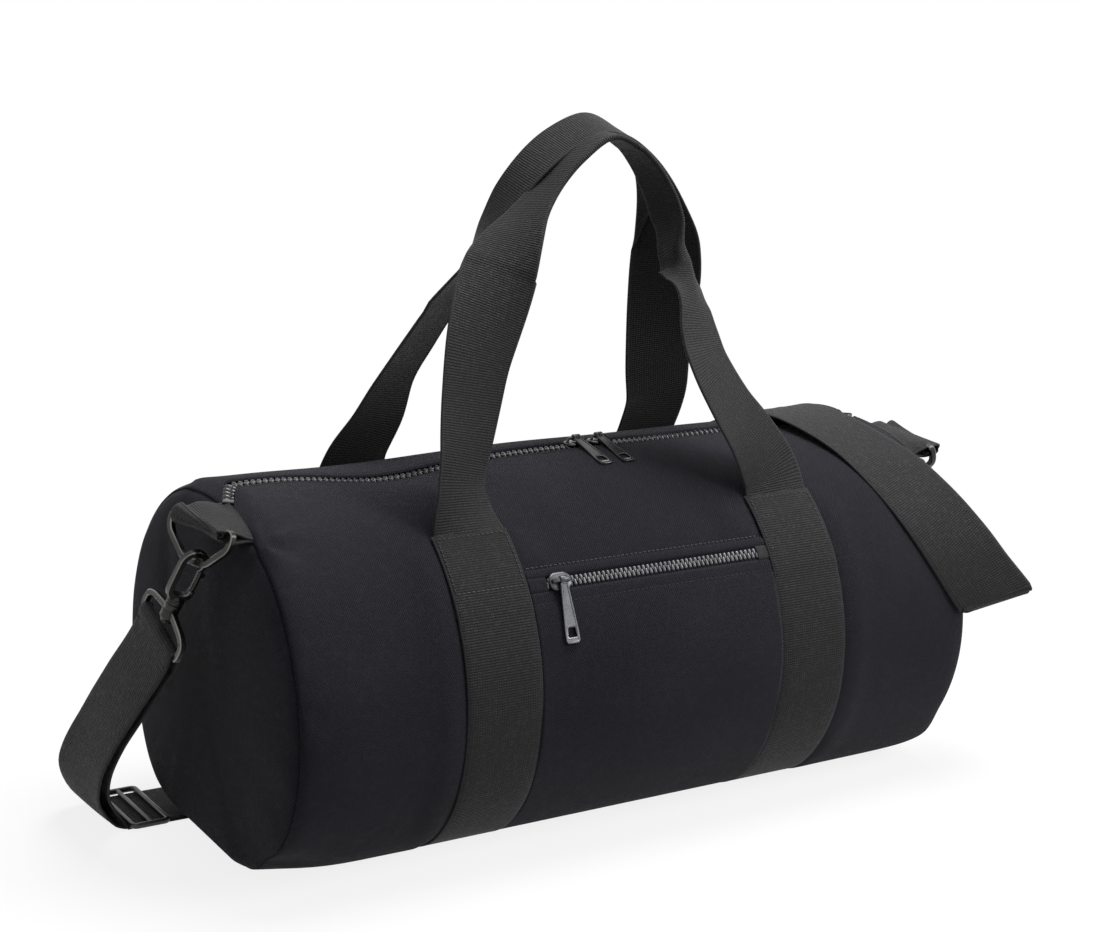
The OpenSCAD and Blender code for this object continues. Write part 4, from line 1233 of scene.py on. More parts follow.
# Two stitch rows: 3.2 degrees above the strip's low edge and 3.4 below the panel's top edge.
def makePocketStitches(first, look):
    x = np.linspace(-86, 86, 160)
    upper, lower = np.full(x.shape, pocket["stripLow"] - 3.2), np.full(x.shape, first + 3.4)
    rows = {"pocketUpperStitches": (upper, 1.85, "thread"),
            "pocketLowerStitches": (lower, 1.95 + pocketLift(x, lower), "darkThread")}
    for name, (a, off, thread) in rows.items():
        line = plainPoint(x, a, off)
        row = stitchRow(name, line, plainPoint(x, a, off + 1) - line)
        dress(row, look[thread], "bag")


# The pocket's chain and tapes, at 0.8 of the main zip's size.
def makePocketZip(x, look):
    along = np.linspace(-pocket["zipHalf"], pocket["zipHalf"], 120)
    a = np.full(along.shape, pocket["angle"])
    line = plainPoint(along, a, pocket["mid"] + 0.5)
    out = plainPoint(along, a, 5.0) - line
    r = np.radians(pocket["angle"])
    names = ["pocketZipLowerTeeth", "pocketZipUpperTeeth"]
    lower, upper = zipChain(names, line, np.array([0.0, np.cos(r), np.sin(r)]), out, 0.8)
    dress(upper, look["toothMetal"], "bag", ["pocket_zip_upper_teeth"], sharp=50)
    dress(lower, look["toothMetal"], "bag", ["pocket_zip_lower_teeth"], sharp=50)
    over, under = flatStrip(0.62, 0.12)
    for side, word in ((-1, "upper"), (1, "lower")):
        angles = pocket["angle"] + side * np.linspace(0.9, 3.8, 7)[None] + 0 * x[:, None]
        name = "pocketZip" + word.title() + "Tape"
        tape = shellStrip(name, x * 0.985, angles, over, under, plainLift)
        dress(tape, look["tape"], "bag", ["pocket_zip_" + word + "_tape"])


# Tapes over the raw seams: strips inside the shell, 10 mm wide.
def makeBindings(look):
    over, under = flatStrip(-1.5, -2.7)
    for side in (-1, 1):
        x = side * np.linspace(shell["seamX"] - 10, shell["seamX"] - 0.3, 6)
        a = np.concatenate([np.linspace(14, 180, 90), np.linspace(-178, -12, 90)])
        angles = np.broadcast_to(a[None], (len(x), len(a)))
        word = sideWord(side)
        strip = shellStrip(word + "SeamBinding", x, angles, over, under)
        dress(strip, look["tape"], "bag", [word + "_seam_binding"])


# Bands and handles

band = {
    "x": 113.0, "half": 25.0, "thick": 1.15, "low": 1.25,
    "top": 37.5, "anchorEnd": 62.0, "raise": 0.7,  # over the sewn handle ends, as angles and height
    "boxEnd": 55.0, "stitchIn": 2.2,
}


# A band: a webbing ribbon round the belly. Its offset is 2.3 at the base, a little more over the
# sewn handle ends, and its long edges dip towards the shell.
def makeBand(side, look):
    word = sideWord(side)
    middle = side * band["x"]
    a = np.concatenate([np.linspace(band["top"], 180, 130), np.linspace(-179, -band["top"], 129)])
    slack = 0.25 * np.sin(np.radians(a) * 7 + side) * blendStep((140 - np.abs(a)) / 20)
    raised = band["raise"] * blendStep((band["anchorEnd"] + 3 - np.abs(a)) / 5)
    off = band["low"] + band["thick"] / 2 + raised + slack
    path = plainPoint(np.full(a.shape, middle), a, off)
    path[:, 2] = np.maximum(path[:, 2], band["thick"] / 2 + 0.7)
    across = np.tile(xAxis, (len(a), 1))
    cx, cz = flatSection(np.full(len(a), band["half"]), 17)
    toward = 0.5 * blendStep((np.abs(np.linspace(-1, 1, 17)[None]) - 0.72) / 0.28)
    out = np.cross(np.gradient(path, axis=0), across)
    rising = np.sign((out * (path - np.array([middle, 0, shell["axisZ"]]))).sum(1))[:, None]
    cz = cz - toward * rising * blendStep((150 - np.abs(a))[:, None] / 20)
    obj = ribbon(word + "Band", path, across, cx, cz, band["thick"])
    dress(obj, look["band"], "bag", [word + "_band"])
    makeBandStitches(word, middle, look)


# A box of stitches over each sewn handle end: two rows across the band and two along its edges.
def makeBandStitches(word, middle, look):
    reach = band["half"] - band["stitchIn"]
    height = band["low"] + band["thick"] + band["raise"]
    first = band["top"] + 1.3
    xs = np.linspace(-reach, reach, 24) + middle
    rows = []
    for sign in (1, -1):
        run = sign * np.linspace(first, band["boxEnd"], 40)
        lines = [(xs, np.full(xs.shape, sign * angle), height) for angle in (first, band["boxEnd"])]
        lines += [(np.full(run.shape, middle + dx), run, height - 0.15) for dx in (-reach, reach)]
        for x, a, off in lines:
            line = plainPoint(x, a, off)
            rows.append(stitchRow("row", line, plainPoint(x, a, 9.0) - line))
    dress(joined(word + "BandStitches", rows), look["thread"], "bag")


hinge = {"offset": 3.6, "angle": 37.5, "bendAngle": 37.9}
# Sewn ends: angle on the shell, offset, width
sewnRows = [(61.5, 0.95, 49), (52, 0.95, 48.5), (44, 0.95, 47.5), (39.5, 1.05, 46.5), (37.6, 1.9, 46)]
# Handle stations: x, distance in from the hinge line, height above it, turn of the width, width,
# and tilt of the width below the level
frontRoute = [
    (-113, 7, 11, -16, 44), (-112, 12, 28, -26, 44), (-107, 16, 50, -20, 46), (-102, 20, 74, -12, 46),
    (-96, 24, 100, -4, 46), (-86, 31, 124, 6, 46), (-74, 40, 145, 22, 44), (-60, 49, 162, 48, 38),
    (-44, 58, 176, 75, 30), (-27, 65, 190, 88, 26), (-8, 68, 207, 90, 26), (14, 69, 220, 90, 26),
    (32, 69, 214, 84, 26), (46, 68, 200, 76, 26), (56, 65, 182, 70, 26), (61, 61, 166, 72, 26),
    (66, 57, 153, 84, 29), (71, 50, 142, 108, 33), (71, 44, 130, 132, 38), (69, 38, 116, 146, 43),
    (69, 31, 98, 152, 46), (73, 23, 79, 154, 46), (86, 16, 54, 158, 46), (100, 11, 33, 166, 46),
    (111, 6, 12, 176, 46)]
rearRoute = [
    (-111, 8, 14, 174, 46), (-101, 15, 36, 164, 46), (-92, 21, 62, 152, 46), (-79, 29, 88, 150, 45),
    (-67, 39, 114, 146, 43), (-58, 50, 140, 128, 35, 8), (-50, 61, 162, 102, 28, 20),
    (-40, 67, 183, 90, 27, 28), (-25, 70, 202, 90, 27, 30), (-6, 70, 216, 90, 27, 28),
    (16, 70, 225, 90, 27, 22), (34, 70, 221, 88, 27, 16), (50, 69, 210, 84, 26, 10),
    (64, 67, 195, 78, 28, 4), (76, 63, 175, 66, 34), (88, 55, 150, 48, 42),
    (96, 45, 122, 30, 46), (103, 33, 92, 18, 46), (109, 23, 60, 8, 46), (115, 15, 34, 2, 46),
    (114, 8, 13, 0, 46)]
# flat is the webbing's own width. It folds where the visible width is under foldFrom. The last two
# numbers are the handles' lengths in metres.
handle = {
    "thick": 1.7, "flat": 50.0, "widest": 46.0, "foldFrom": 44.0, "foldedWidth": 26.0, "bend": 3.3,
    "steps": 7, "front": 0.655, "rear": 0.663,
}


# Section of a handle where one edge slides under: the webbing lies flat until it is narrower than
# foldFrom, then the part past that edge turns back. s is the distance from the free edge and w the
# visible width: x = w/2 - s before the edge, and past it the direction turns by 180 x amount.
def slidFold(width):
    narrow = np.clip(handle["foldFrom"] - width, 0, None) / (handle["foldFrom"] - handle["foldedWidth"])
    deepest = 23.0
    over = (0.5 + np.minimum(narrow, 1.1) * deepest)[:, None]
    w = width[:, None]
    amount = blendStep((over - 0.5) / 1.0)
    t = np.linspace(0, 1, 34)[None]
    ahead = w * (1 - (1 - t) ** 1.5)
    past = over * np.linspace(0, 1, 18)[None, 1:] ** 1.2
    layer = (handle["thick"] + 0.35) * amount
    turn = np.pi * amount
    x = np.hstack([w / 2 - ahead, -w / 2 - past * np.cos(turn)])
    z = np.hstack([0 * ahead, past * np.sin(turn)])
    s = np.hstack([ahead, w + past])
    z = z + blendStep((s - w + 1.3) / 2.6) * layer
    x = x + 0.5 * np.exp(-((s - w) / 0.9) ** 2) * amount
    gentle = 0.8 * (1 - amount) * ((s / (w + over) * 2 - 1) ** 2 - 0.4)
    return x, z - handle["thick"] * 0.5 * amount + gentle


# Section where the folded webbing opens like a book: opened is 0 closed and 1 flat. The direction
# is turned by 180 x (1 - opened) over the length 'bend' at the middle, and x and z are its running
# sums from the free edge, which starts at x = half the visible width.
def bookFold(width, count):
    folded, parts = handle["foldedWidth"], 900
    opened = np.clip((width - folded) / (handle["foldFrom"] - folded), 0, 1)[:, None]
    total = handle["flat"] * (1 - opened) + np.minimum(width, handle["widest"])[:, None] * opened
    middle = folded * (1 - opened) + total / 2 * opened
    fine = np.linspace(0, 1, parts + 1)[None] * total
    bend = handle["bend"] + 80 * opened * (1 - opened)
    turned = np.pi * (1 - blendStep(opened)) * blendStep((fine - middle) / bend + 0.5)
    edge = folded / 2 * (1 - opened) + total / 2 * opened
    x = edge - np.cumsum(np.cos(turned), axis=1) * total / parts
    z = np.cumsum(np.sin(turned), axis=1) * total / parts - handle["thick"] * 0.5 * (1 - opened)
    t = np.linspace(-1, 1, count)[None]
    at = middle + np.where(t < 0, middle, total - middle) * (0.3 * t + 0.7 * t**3)
    return [np.stack([np.interp(q, f, v) for q, f, v in zip(at, fine, values)]) for values in (x, z)]


# The flat sewn end of a handle on its band, as rows of place, width direction and width.
def sewnEnd(x, side, direction):
    return [[*sectionSpot(x, -side * a, off), direction, 0, 0, width] for a, off, width in sewnRows]


# A handle is a ribbon through its route between two sewn ends. The width's direction is
# (cos turn, -sin turn * cos tilt, -sin turn * sin tilt). mirror picks the folded edge: -1 the edge
# that it points to, 1 the other. Where book is true the second half opens like a book.
def makeHandle(word, route, side, look, mirror, book):
    r = np.radians(hinge["angle"])
    outer = shell["roundR"] + hinge["offset"]
    hingeY, hingeZ = outer * np.sin(r), shell["axisZ"] + outer * np.cos(r)
    rows = np.array([r + (0,) * (6 - len(r)) for r in route], float)
    turn, tilt = np.radians(rows[:, 3]), np.radians(rows[:, 5])
    leg = np.stack([rows[:, 0], side * (hingeY - rows[:, 1]), hingeZ + rows[:, 2], np.cos(turn),
                    -np.sin(turn) * np.cos(tilt), -np.sin(turn) * np.sin(tilt), rows[:, 4]], -1)
    first = sewnEnd(-band["x"], side, np.sign(leg[0, 3]))
    last = sewnEnd(band["x"], side, np.sign(leg[-1, 3]))[::-1]
    s = through(np.vstack([first, leg, last]), handle["steps"])
    path, across, width = s[:, :3], s[:, 3:6], s[:, 6]
    cx, cz = slidFold(width)
    if book:
        bx, bz = bookFold(width, cx.shape[1])
        late = np.arange(len(s))[:, None] > len(s) * 0.5
        cx, cz = np.where(late, bx, cx), np.where(late, bz, cz)
    obj = ribbon(word + "Handle", path, across, cx * mirror, cz, handle["thick"])
    print(word, "handle length", lengthAlong(path)[-1])
    dress(obj, look["webbing"], None, [word + "_handle", word + "_handle_anchors"])
    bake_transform(obj)


# Rings, tabs, hooks and loops

# The ring's bar lies at the pivot, turned from the Y axis, and the ring hangs down from it, tilted.
ring = {
    "pivot": (-262.0, -34.0, 212.0), "turn": 12.0, "tilt": 14.0, "drop": 22.0,
    "outline": [(-28.6, 0), (28.6, 0), (28.6, 8.2), (10.4, 22), (-10.4, 22), (-28.6, 8.2)],
    "cuts": [2.6, 2.6, 5, 5, 5, 5], "section": (1.98, 1.98, 0.6),
}


# The left side's vector, or for side 1 its mirror image: (-side * x, y, z).
def mirrored(v, side):
    return np.array([-side * v[0], v[1], v[2]])


# The pivot, the bar's direction and the hanging direction, from the turn t and the tilt k:
# (sin t, -cos t, 0) and (-sin k cos t, -sin k sin t, -cos k).
def ringAxes():
    t, k = np.radians(ring["turn"]), np.radians(ring["tilt"])
    along = np.array([np.sin(t), -np.cos(t), 0.0])
    down = np.array([-np.sin(k) * np.cos(t), -np.sin(k) * np.sin(t), -np.cos(k)])
    return np.array(ring["pivot"]), along, down


# Turns by angles about X, then Y, then Z.
def turnMatrix(angles):
    a, b, c = np.radians(angles)
    x = np.array([[1, 0, 0], [0, np.cos(a), -np.sin(a)], [0, np.sin(a), np.cos(a)]])
    y = np.array([[np.cos(b), 0, np.sin(b)], [0, 1, 0], [-np.sin(b), 0, np.cos(b)]])
    z = np.array([[np.cos(c), -np.sin(c), 0], [np.sin(c), np.cos(c), 0], [0, 0, 1]])
    return z @ y @ x


# Bars of dark metal with a second, paler material on their cut edges: painted highlight lines, with some
# rubbed wear.
def dressBar(obj, look, body, replaces):
    dress(obj, look["gunmetal"], body, replaces, sharp=30)
    obj.data.materials.append(look["edgeHighlightAndWear"])


# D-ring: a square bar with cut corners, carried round the outline.
def makeRing(side, look):
    word = sideWord(side)
    origin, ex, ey = [mirrored(v, side) for v in ringAxes()]
    path = roundedPath(ring["outline"], ring["cuts"], 7)
    obj = planarSweep(word + "Ring", path, origin, ex, ey, cutSquare(*ring["section"]))
    dressBar(obj, look, word + "_ring", [word + "_ring"])


# The tab's stations from the seam, 1, to the bar, 0, with the lift of the upper and the lower layer.
tab = {
    "angle": 17.5, "spread": 11.3, "columns": 15, "thick": 1.5, "half": 24.9, "wrap": 3.15,
    "upper": [(1.0, 0.7), (0.85, 1.0), (0.6, 2.3), (0.3, 3.1)],
    "lower": [(0.3, -3.0), (0.6, -1.7), (0.85, -0.9), (1.0, -0.9)],
}


# Tab: webbing from the seam over the ring's bar and back, as two layers; the turn is a half circle.
# Near the seam its section bows with the shell's own offset there.
def makeTab(side, look):
    pivot, along, _ = ringAxes()
    word = sideWord(side)
    count = tab["columns"]
    s0 = np.linspace(-1, 1, count)
    seamOff = shellOffset(np.full(count, side * (shell["seamX"] - 1.4)), tab["angle"] - tab["spread"] * s0)
    middleOff = seamOff[count // 2]
    seam = sectionSpot(2.2 - shell["seamX"], tab["angle"], middleOff + 0.6)
    r = np.radians(tab["angle"])
    seamAcross = np.array([0, np.cos(r), np.sin(r)])
    toward = unit(seam - pivot)
    up = np.cross(toward, -along)
    up = up if up[2] > 0 else -up

    def station(t, lift):
        return np.concatenate([pivot * (1 - t) + seam * t + up * lift, -along * (1 - t) + seamAcross * t])

    rows = [station(*row) for row in tab["upper"]]
    for angle in np.radians(np.arange(0, 181, 30)):
        round0 = tab["wrap"] * (np.cos(angle) * up - np.sin(angle) * toward)
        rows.append(np.concatenate([pivot + round0, -along]))
    rows += [station(*row) for row in tab["lower"]]
    s = through(rows, 4)
    flip = np.array([-side, 1, 1])
    path, across = s[:, :3] * flip, s[:, 3:] * flip
    near = blendStep(1 - np.abs(path[:, 0] + side * -shell["seamX"]) / 16)
    cx, cz = flatSection(tab["half"] - 2.2 * near, count)
    bow = (2.5 * s0**2 + middleOff - seamOff)[None] * near[:, None]
    upward = np.sign(ribbonFrame(path, across)[1][:, 2:])
    obj = ribbon(word + "Tab", path, across, cx, cz - bow * upward, tab["thick"])
    print(word, "tab length", lengthAlong(path)[-1])
    dress(obj, look["webbing"], "bag", [word + "_tab"])


# Points are (x, z) in the hook's own frame, whose origin is the middle of the ring's low bar.
# Profiles turned about the shank are (radius, z).
hook = {
    "leftTurn": (21, 16, 4), "rightTurn": (0, -22, 0), "rightSpin": 75.0, "bar": -50.0, "gateX": 6.6,
    "bow": 7.2, "section": (2.0, 2.05, 0.65),
    "shank": [(-7.2, -6), (-7.15, -11), (-7.05, -16), (-6.6, -20.4), (-5.0, -23.2), (-2.0, -24.4),
              (1.5, -24.4), (4.6, -23.6), (6.4, -21.8), (6.6, -19.2)],
    "swellAt": [0, 0.04, 0.15, 0.45, 0.75, 0.9, 1], "swell": [0.62, 0.86, 1.0, 0.94, 1.18, 1.12, 0.8],
    "collar": [(2.2, -23.6), (3.6, -24.6), (4.2, -25.4), (5.0, -25.8), (5.15, -26.4), (4.7, -26.9),
               (4.7, -27.3), (5.15, -27.7), (5.0, -28.4), (3.9, -28.6), (2.2, -28.7), (2.2, -40.2),
               (3.4, -40.4), (3.4, -41.6), (2.6, -42)],
    "pin": [(0.8, -2.9), (1.15, -2.6), (1.15, 2.6), (0.8, 2.9)],
    "nail": [(8.1, -6.2), (9.6, -6.6), (9.6, -9), (8.1, -9.5)],
    "boss": [(2.45, -29.6), (4.4, -29.2), (5.0, -29.8), (5.0, -32.5), (4.5, -33.4), (5.1, -34.2),
             (5.1, -38.4), (4.4, -39.6), (2.45, -39.9)],
    "loop": [(-27.4, -50), (27.4, -50), (27.4, -41.5), (22.5, -38), (10, -35.6), (0, -34.2),
             (-10, -35.6), (-22.5, -38), (-27.4, -41.5)],
    "loopCuts": [3, 3, 2.6, 4, 4, 3, 4, 4, 2.6], "loopSection": (1.9, 2.0, 0.6),
}


# Hook: one bar from the nose over the eye, down the shank, round the foot and up to the gate's pin,
# with the collar that turns in the boss.
def makeHook(side, look):
    word = sideWord(side)
    pivot, _, down = ringAxes()
    eye = mirrored(pivot + ring["drop"] * down, side)
    ex, ey, ez = turnMatrix(hook["leftTurn"] if side < 0 else hook["rightTurn"]).T
    t = np.radians(np.linspace(-28, 180, 22))
    top = np.stack([hook["bow"] * np.cos(t), -1.5 + hook["bow"] * np.sin(t)], -1)
    top[:2] += np.array([[-0.9, -0.9], [-0.1, -0.3]])
    path = np.vstack([top, through(hook["shank"], 3)])
    swell = np.interp(np.linspace(0, 1, len(path)), hook["swellAt"], hook["swell"])
    name = word + "Hook"
    section = cutSquare(*hook["section"])
    bar = planarSweep(name, path, eye, ex, ez, section, closed=False, swell=swell)
    collar = lathe(name, hook["collar"], eye, (ex, ey, ez), 28)
    pin = lathe(name, hook["pin"], eye + hook["gateX"] * ex - 20 * ez, (ex, ez, ey), 14)
    hookNodes = [word + "_hook", word + "_gate_spring"]
    dressBar(joined(name, [bar, collar, pin]), look, word + "_hook", hookNodes)
    makeGate(word, eye, (ex, ey, ez), look)
    makeLoop(side, word, eye, (ex, ey, ez), look)


# Gate: a straight bar with eight raised ribs, bowed out by a quarter of a millimetre, and a nail.
def makeGate(word, eye, axes, look):
    ex, ey, ez = axes
    count = 30
    bowed = hook["gateX"] + 0.25 * np.sin(np.linspace(0, np.pi, count))
    path = np.stack([bowed, np.linspace(-19.6, -5.6, count)], -1)
    ribs = np.sign(np.sin(np.linspace(0, 16 * np.pi, count))) * blendStep(np.linspace(0, 3, count))
    name = word + "Gate"
    section = oblong(1.55, 1.5, 3.0, 12)
    gate = planarSweep(name, path, eye, ex, ez, section, closed=False, swell=1 + 0.09 * ribs)
    steps = [(0.2, -1.3), (0, -1.0), (0, 1.0), (0.2, 1.3)]
    nail = stackedOutline(name, roundedPath(hook["nail"], 0.5, 4), steps, eye, (ex, ez, -ey))
    node = word + "_gate"
    dress(joined(name, [gate, nail]), look["gunmetal"], node, [node], sharp=50)


# Strap loop: a bar round the loop's outline, and the boss in which the collar turns.
def makeLoop(side, word, eye, axes, look):
    ex, ey, ez = axes
    spin = np.radians(90.0 if side < 0 else 90.0 + hook["rightSpin"])
    wide = np.cos(spin) * ex + np.sin(spin) * ey
    name = word + "SwivelLoop"
    path = roundedPath(hook["loop"], hook["loopCuts"], 6)
    bar = planarSweep(name, path, eye, wide, ez, cutSquare(*hook["loopSection"]))
    boss = lathe(name, hook["boss"], eye, axes, 28, ring=True)
    dressBar(joined(name, [bar, boss]), look, word + "_ring", [word + "_swivel_loop"])


# Shoulder strap

# The lane is the strap's line through the adjuster.
strap = {"thick": 1.5, "half": 25.0, "laneY": 67.0, "laneZ": 1.0, "wrapR": 3.1, "bendRows": 9}
# Strands at the left end: x from the seam, y, z, and the direction of the width
innerStrand = [(-36, 67, 4.2, 0, 1, 0), (-41, 67, 8, 0, 1, -0.05), (-48, 64, 19, 0, 1, -0.15),
               (-54, 54, 36, 0, 1, -0.18), (-56, 39, 56, 0, 1, -0.1), (-53, 24, 79, 0, 1, 0),
               (-47, 8, 103, 0, 1, 0.12), (-41, -5, 124, 0.02, 1, 0.25), (-37, -14, 138, 0.04, 1, 0.34)]
outerStrand = [(-43, -16, 140, 0.04, 1, 0.35), (-47, -8, 126, 0.03, 1, 0.27), (-54, 6, 104, 0, 1, 0.14),
               (-60, 22, 80, 0, 1, 0), (-63, 38, 56, 0, 1, -0.1), (-61, 54, 34, 0, 1, -0.18),
               (-54, 65, 16, 0, 1, -0.12), (-45, 67, 4.5, 0, 1, -0.03), (-36, 67, 1.0, 0, 1, 0)]
# On the floor behind the bag: x and y. Then up from the floor, in the strands' columns
floorRun = [(-277.7, 67), (-255, 67), (-230, 67), (-212, 70), (-180, 82), (-150, 100), (-110, 120),
            (-60, 138), (0, 148), (50, 152), (88, 153), (100, 153)]
rise = [(108, 153, 2.6, 0.1, 1, 0.02), (122, 154, 8, 0.4, 1, 0.1), (150, 150, 24, 0.8, 0.6, 0.2),
        (168, 144, 50, 1, 0.2, 0), (176, 136, 78, 1, 0.05, 0)]
# Over the shell: x, angle, offset and the direction of the width
climb = [(180, -90, 3, 1, 0, 0), (180, -76, 2.2, 1, 0, 0), (180, -62, 2.2, 1, 0, 0), (180, -48, 2.4, 1, 0, 0),
         (180, -34, 2.6, 1, 0.05, 0), (181, -22, 3.2, 1, 0.35, -0.1), (181, -13, 4.5, 1, 0.5, -0.15),
         (186, -2, 6.4, 1, 0.5, 0), (192, 10, 5.4, 1, 0.45, 0.1), (203, 23, 3.2, 1, 0.35, 0.15),
         (213, 36.5, 3.6, 1, 0.2, 0.26), (223, 49.5, 5.3, 1, 0.05, 0.28), (236, 62, 6.2, 1, -0.08, 0.27),
         (249, 72, 6.8, 1, -0.14, 0.26), (261, 79.5, 8.6, 1, -0.2, 0.28)]
# Back to the right hook: x from the seam, y, z, the direction of the width, and the width
returnRun = [(23.3, -129.3, 125.1, 1, -0.2, 0.2, 44), (26.5, -125.5, 120.5, 0.96, -0.25, 0.24, 42),
             (31, -117, 117.5, 0.92, -0.27, 0.3, 44), (34.5, -106.6, 117.2, 0.9, -0.26, 0.34, 47),
             (38.6, -91.1, 117.4, 0.9, -0.26, 0.36, 49), (42.5, -75.7, 118.9, 0.9, -0.26, 0.36, 50),
             (45.9, -60.2, 121.4, 0.9, -0.26, 0.36, 50), (48.2, -46.7, 125.6, 0.9, -0.26, 0.36, 50),
             (47.5, -39, 132.8, 0.9, -0.26, 0.36, 50)]
sewnTail = [(46.7, -33, 138.9), (48.1, -36.8, 132.7), (49.2, -45.3, 124), (46.9, -59.3, 119.6)]


# Half a turn round the loop's lower bar: bar + r * (cos * side + sin * up), 0 to 180 degrees.
def wrapRows(eye, matrix, spin):
    r = np.radians(spin)
    across = matrix @ np.array([-np.sin(r), np.cos(r), 0])
    side = matrix @ np.array([np.cos(r), np.sin(r), 0])
    up = matrix[:, 2]
    bar = eye + hook["bar"] * up
    t = np.linspace(0, np.pi, strap["bendRows"])[:, None]
    points = bar + strap["wrapR"] * (np.cos(t) * side + np.sin(t) * up)
    return np.hstack([points, np.tile(across, (len(t), 1))])


crease = {"across": (1.0, -0.2, 0.2), "radius": 1.6, "turn": 115.0}


# The fold at the front: the strap turns about the crease line, from the outside to the inside.
# point = centre + r * (cos t * out + sin t * ahead), t from 0 to the turn.
def creaseRows(end, heading):
    across = unit(np.array(crease["across"]))
    ahead = unit(heading - (heading @ across) * across)
    out = np.cross(across, ahead)
    out = out if out[1] < 0 else -out
    t = np.radians(np.linspace(0, crease["turn"], strap["bendRows"]))[:, None]
    points = end - crease["radius"] * out + crease["radius"] * (np.cos(t) * out + np.sin(t) * ahead)
    return np.hstack([points, np.tile(crease["across"], (len(t), 1))])


# Lifts the points of a mesh that would lie in the shell until they clear its surface.
def keepOutside(obj, gap):
    count = len(obj.data.vertices)
    co = np.zeros(count * 3)
    obj.data.vertices.foreach_get("co", co)
    p = co.reshape(-1, 3) / mm
    y, z = p[:, 1], p[:, 2] - shell["axisZ"]
    radius = np.hypot(y, z)
    a = np.degrees(np.arctan2(-y, z))
    floor = shell["roundR"] + shellOffset(np.clip(p[:, 0], -shell["seamX"], shell["seamX"]), a) + gap
    short = np.where((z > 0) & (np.abs(p[:, 0]) < shell["seamX"] + 2), np.clip(floor - radius, 0, None), 0)
    p[:, 1] += y / radius * short
    p[:, 2] += z / radius * short
    obj.data.vertices.foreach_set("co", (p * mm).ravel())
    obj.data.update()


# A part of the strap as a ribbon through rows of place and width direction.
def strapRibbon(name, rows, width, columns, cup=0.0, slant=0.0):
    cx, cz = flatSection(width / 2, columns, cup)
    print(name, "length", lengthAlong(rows[:, :3])[-1])
    return ribbon(name, rows[:, :3], rows[:, 3:6], cx, cz, strap["thick"], slant=slant)


# Left end: from the adjuster up the inner strand, round the loop's bar and down the outer strand.
def makeLeftStrapEnd(eye, look):
    shift = np.array([-shell["seamX"], 0, 0, 0, 0, 0])
    inner, outer = np.array(innerStrand, float) + shift, np.array(outerStrand, float) + shift
    rows = np.vstack([through(inner, 5), wrapRows(eye, turnMatrix(hook["leftTurn"]), 0.0), through(outer, 5)])
    width = np.full(len(rows), 2 * strap["half"])
    obj = strapRibbon("leftStrapEnd", rows, width, 15, cup=0.5)
    dress(obj, look["webbing"], None, ["left_strap_end"])
    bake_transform(obj)


# Main run: along the floor, up behind the right end, over the shell and round the crease.
def makeMainRun(look):
    rows = [(x, y, strap["laneZ"], 0, 1, 0) for x, y in floorRun] + rise
    rows += [(*sectionSpot(x, a, off), *width) for x, a, off, *width in climb]
    s = through(rows, 7)
    bend = creaseRows(s[-1, :3], s[-1, :3] - s[-3, :3])
    s = np.vstack([s[:-1], bend])
    slant = np.clip(1 - np.arange(len(s))[::-1] / 14 + 8 / 14, 0, 1)
    width = np.full(len(s), 2 * strap["half"])
    obj = strapRibbon("shoulderStrap", s, width, 17, slant=slant)
    keepOutside(obj, 0.15)
    dress(obj, look["webbing"], "bag", ["shoulder_strap"])
    return bend[-1, :3]


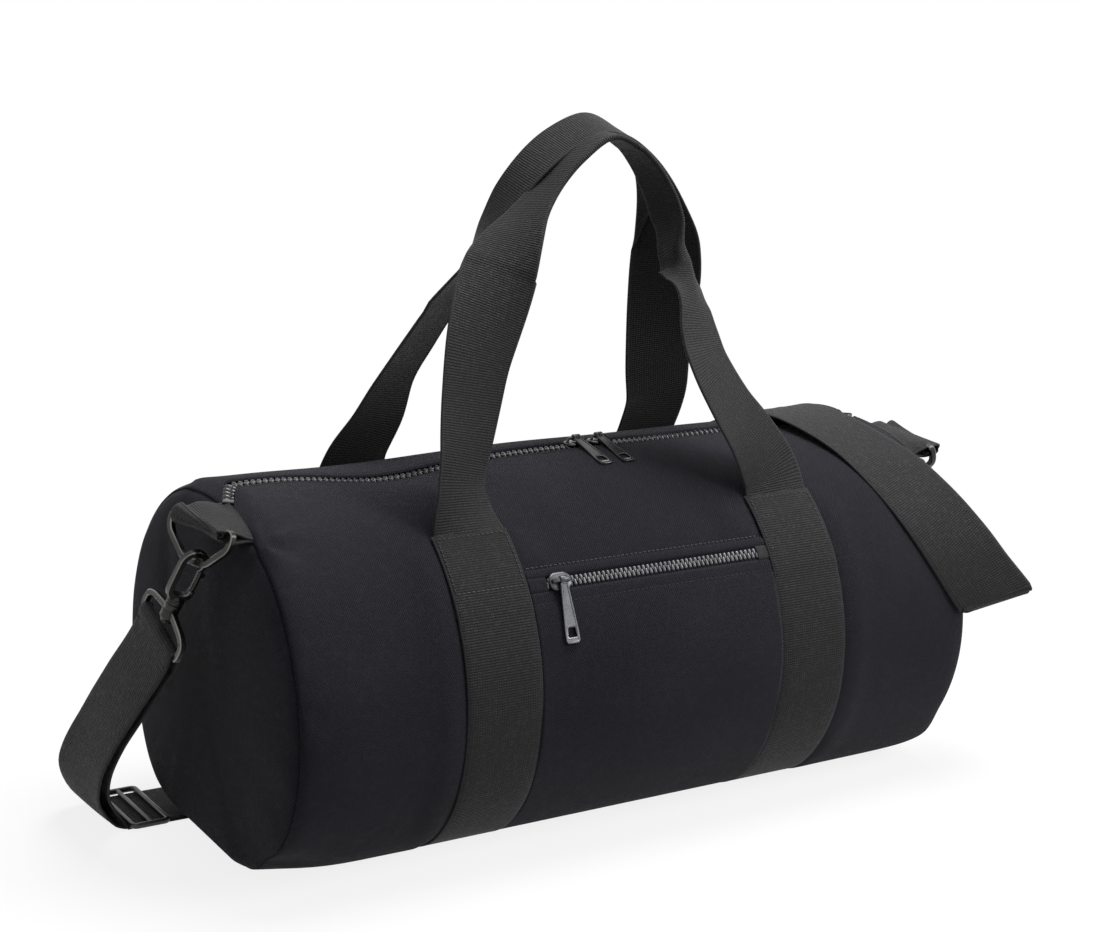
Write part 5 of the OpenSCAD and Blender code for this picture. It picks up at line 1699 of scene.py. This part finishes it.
# Right end: from the crease back inside to the loop, round its bar and down as the sewn tail.
def makeRightStrapEnd(eye, start, look):
    shift = np.array([shell["seamX"], 0, 0, 0, 0, 0, 0])
    back = through(np.array(returnRun, float) + shift, 5)
    back[0, :3] = start
    wrap = wrapRows(mirrored(eye, 1), turnMatrix(hook["rightTurn"]), hook["rightSpin"] - 180)
    wrap = np.hstack([wrap, np.full((len(wrap), 1), 2 * strap["half"])])
    tail = np.array([(x, y, z, 0.9, -0.26, 0.36, 50) for x, y, z in sewnTail]) + shift
    rows = np.vstack([back, wrap, through(tail, 5)])
    slant = np.clip(1 - np.arange(len(rows)) / 10, 0, 1)
    obj = strapRibbon("rightStrapEnd", rows, rows[:, 6], 15, slant=slant)
    dress(obj, look["webbing"], None, ["right_strap_end"])
    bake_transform(obj)


# Both ends pass through the loops, whose bars lie by the eye: pivot + drop * down.
def makeStrap(look):
    pivot, _, down = ringAxes()
    eye = pivot + ring["drop"] * down
    makeLeftStrapEnd(eye, look)
    start = makeMainRun(look)
    makeRightStrapEnd(eye, start, look)


adjuster = {"x": -264.0, "z": 3.1, "half": 13.0, "reach": 28.4}


# Adjuster: a bar round an oblong, and a thinner bar across its middle for the strap.
def makeAdjuster(look):
    name = "strapAdjuster"
    origin = np.array([adjuster["x"], strap["laneY"], adjuster["z"]])
    h, r = adjuster["half"] - 1.6, adjuster["reach"]
    outline = roundedPath([(-h, -r), (h, -r), (h, r), (-h, r)], 3.2, 6)
    rim = planarSweep(name, outline, origin, xAxis, yAxis, oblong(1.6, 1.7, 3.4, 14))
    across = np.stack([np.zeros(12), np.linspace(-28, 28, 12)], -1)
    wire = oblong(1.5, 1.1, 3.0, 12)
    middle = planarSweep(name, across, origin + 0.5 * zAxis, xAxis, yAxis, wire, closed=False)
    whole = joined(name, [rim, middle])
    dress(whole, look["darkPlastic"], "strap_adjuster", ["strap_adjuster"], sharp=50)


# All pieces, stage by stage.
def makeBag():
    look = makeMaterials()
    print("materials done")
    makeBody(look)
    makeEndPanel(-1, look)
    makeEndPanel(1, look)
    makeBindings(look)
    print("shell done")
    makeMainZip(look)
    makePocket(look)
    makeSliders(look)
    print("zips and pocket done")
    makeBand(-1, look)
    makeBand(1, look)
    makeHandle("front", frontRoute, -1, look, -1.0, True)
    makeHandle("rear", rearRoute, 1, look, 1.0, False)
    print("bands and handles done")
    for side in (-1, 1):
        makeRing(side, look)
        makeTab(side, look)
        makeHook(side, look)
    makeStrap(look)
    makeAdjuster(look)
    print("strap and hardware done")


makeCamera()
makeStudio()
makeFloor()
makeBag()
bpy.context.scene.view_settings.view_transform = "Standard"
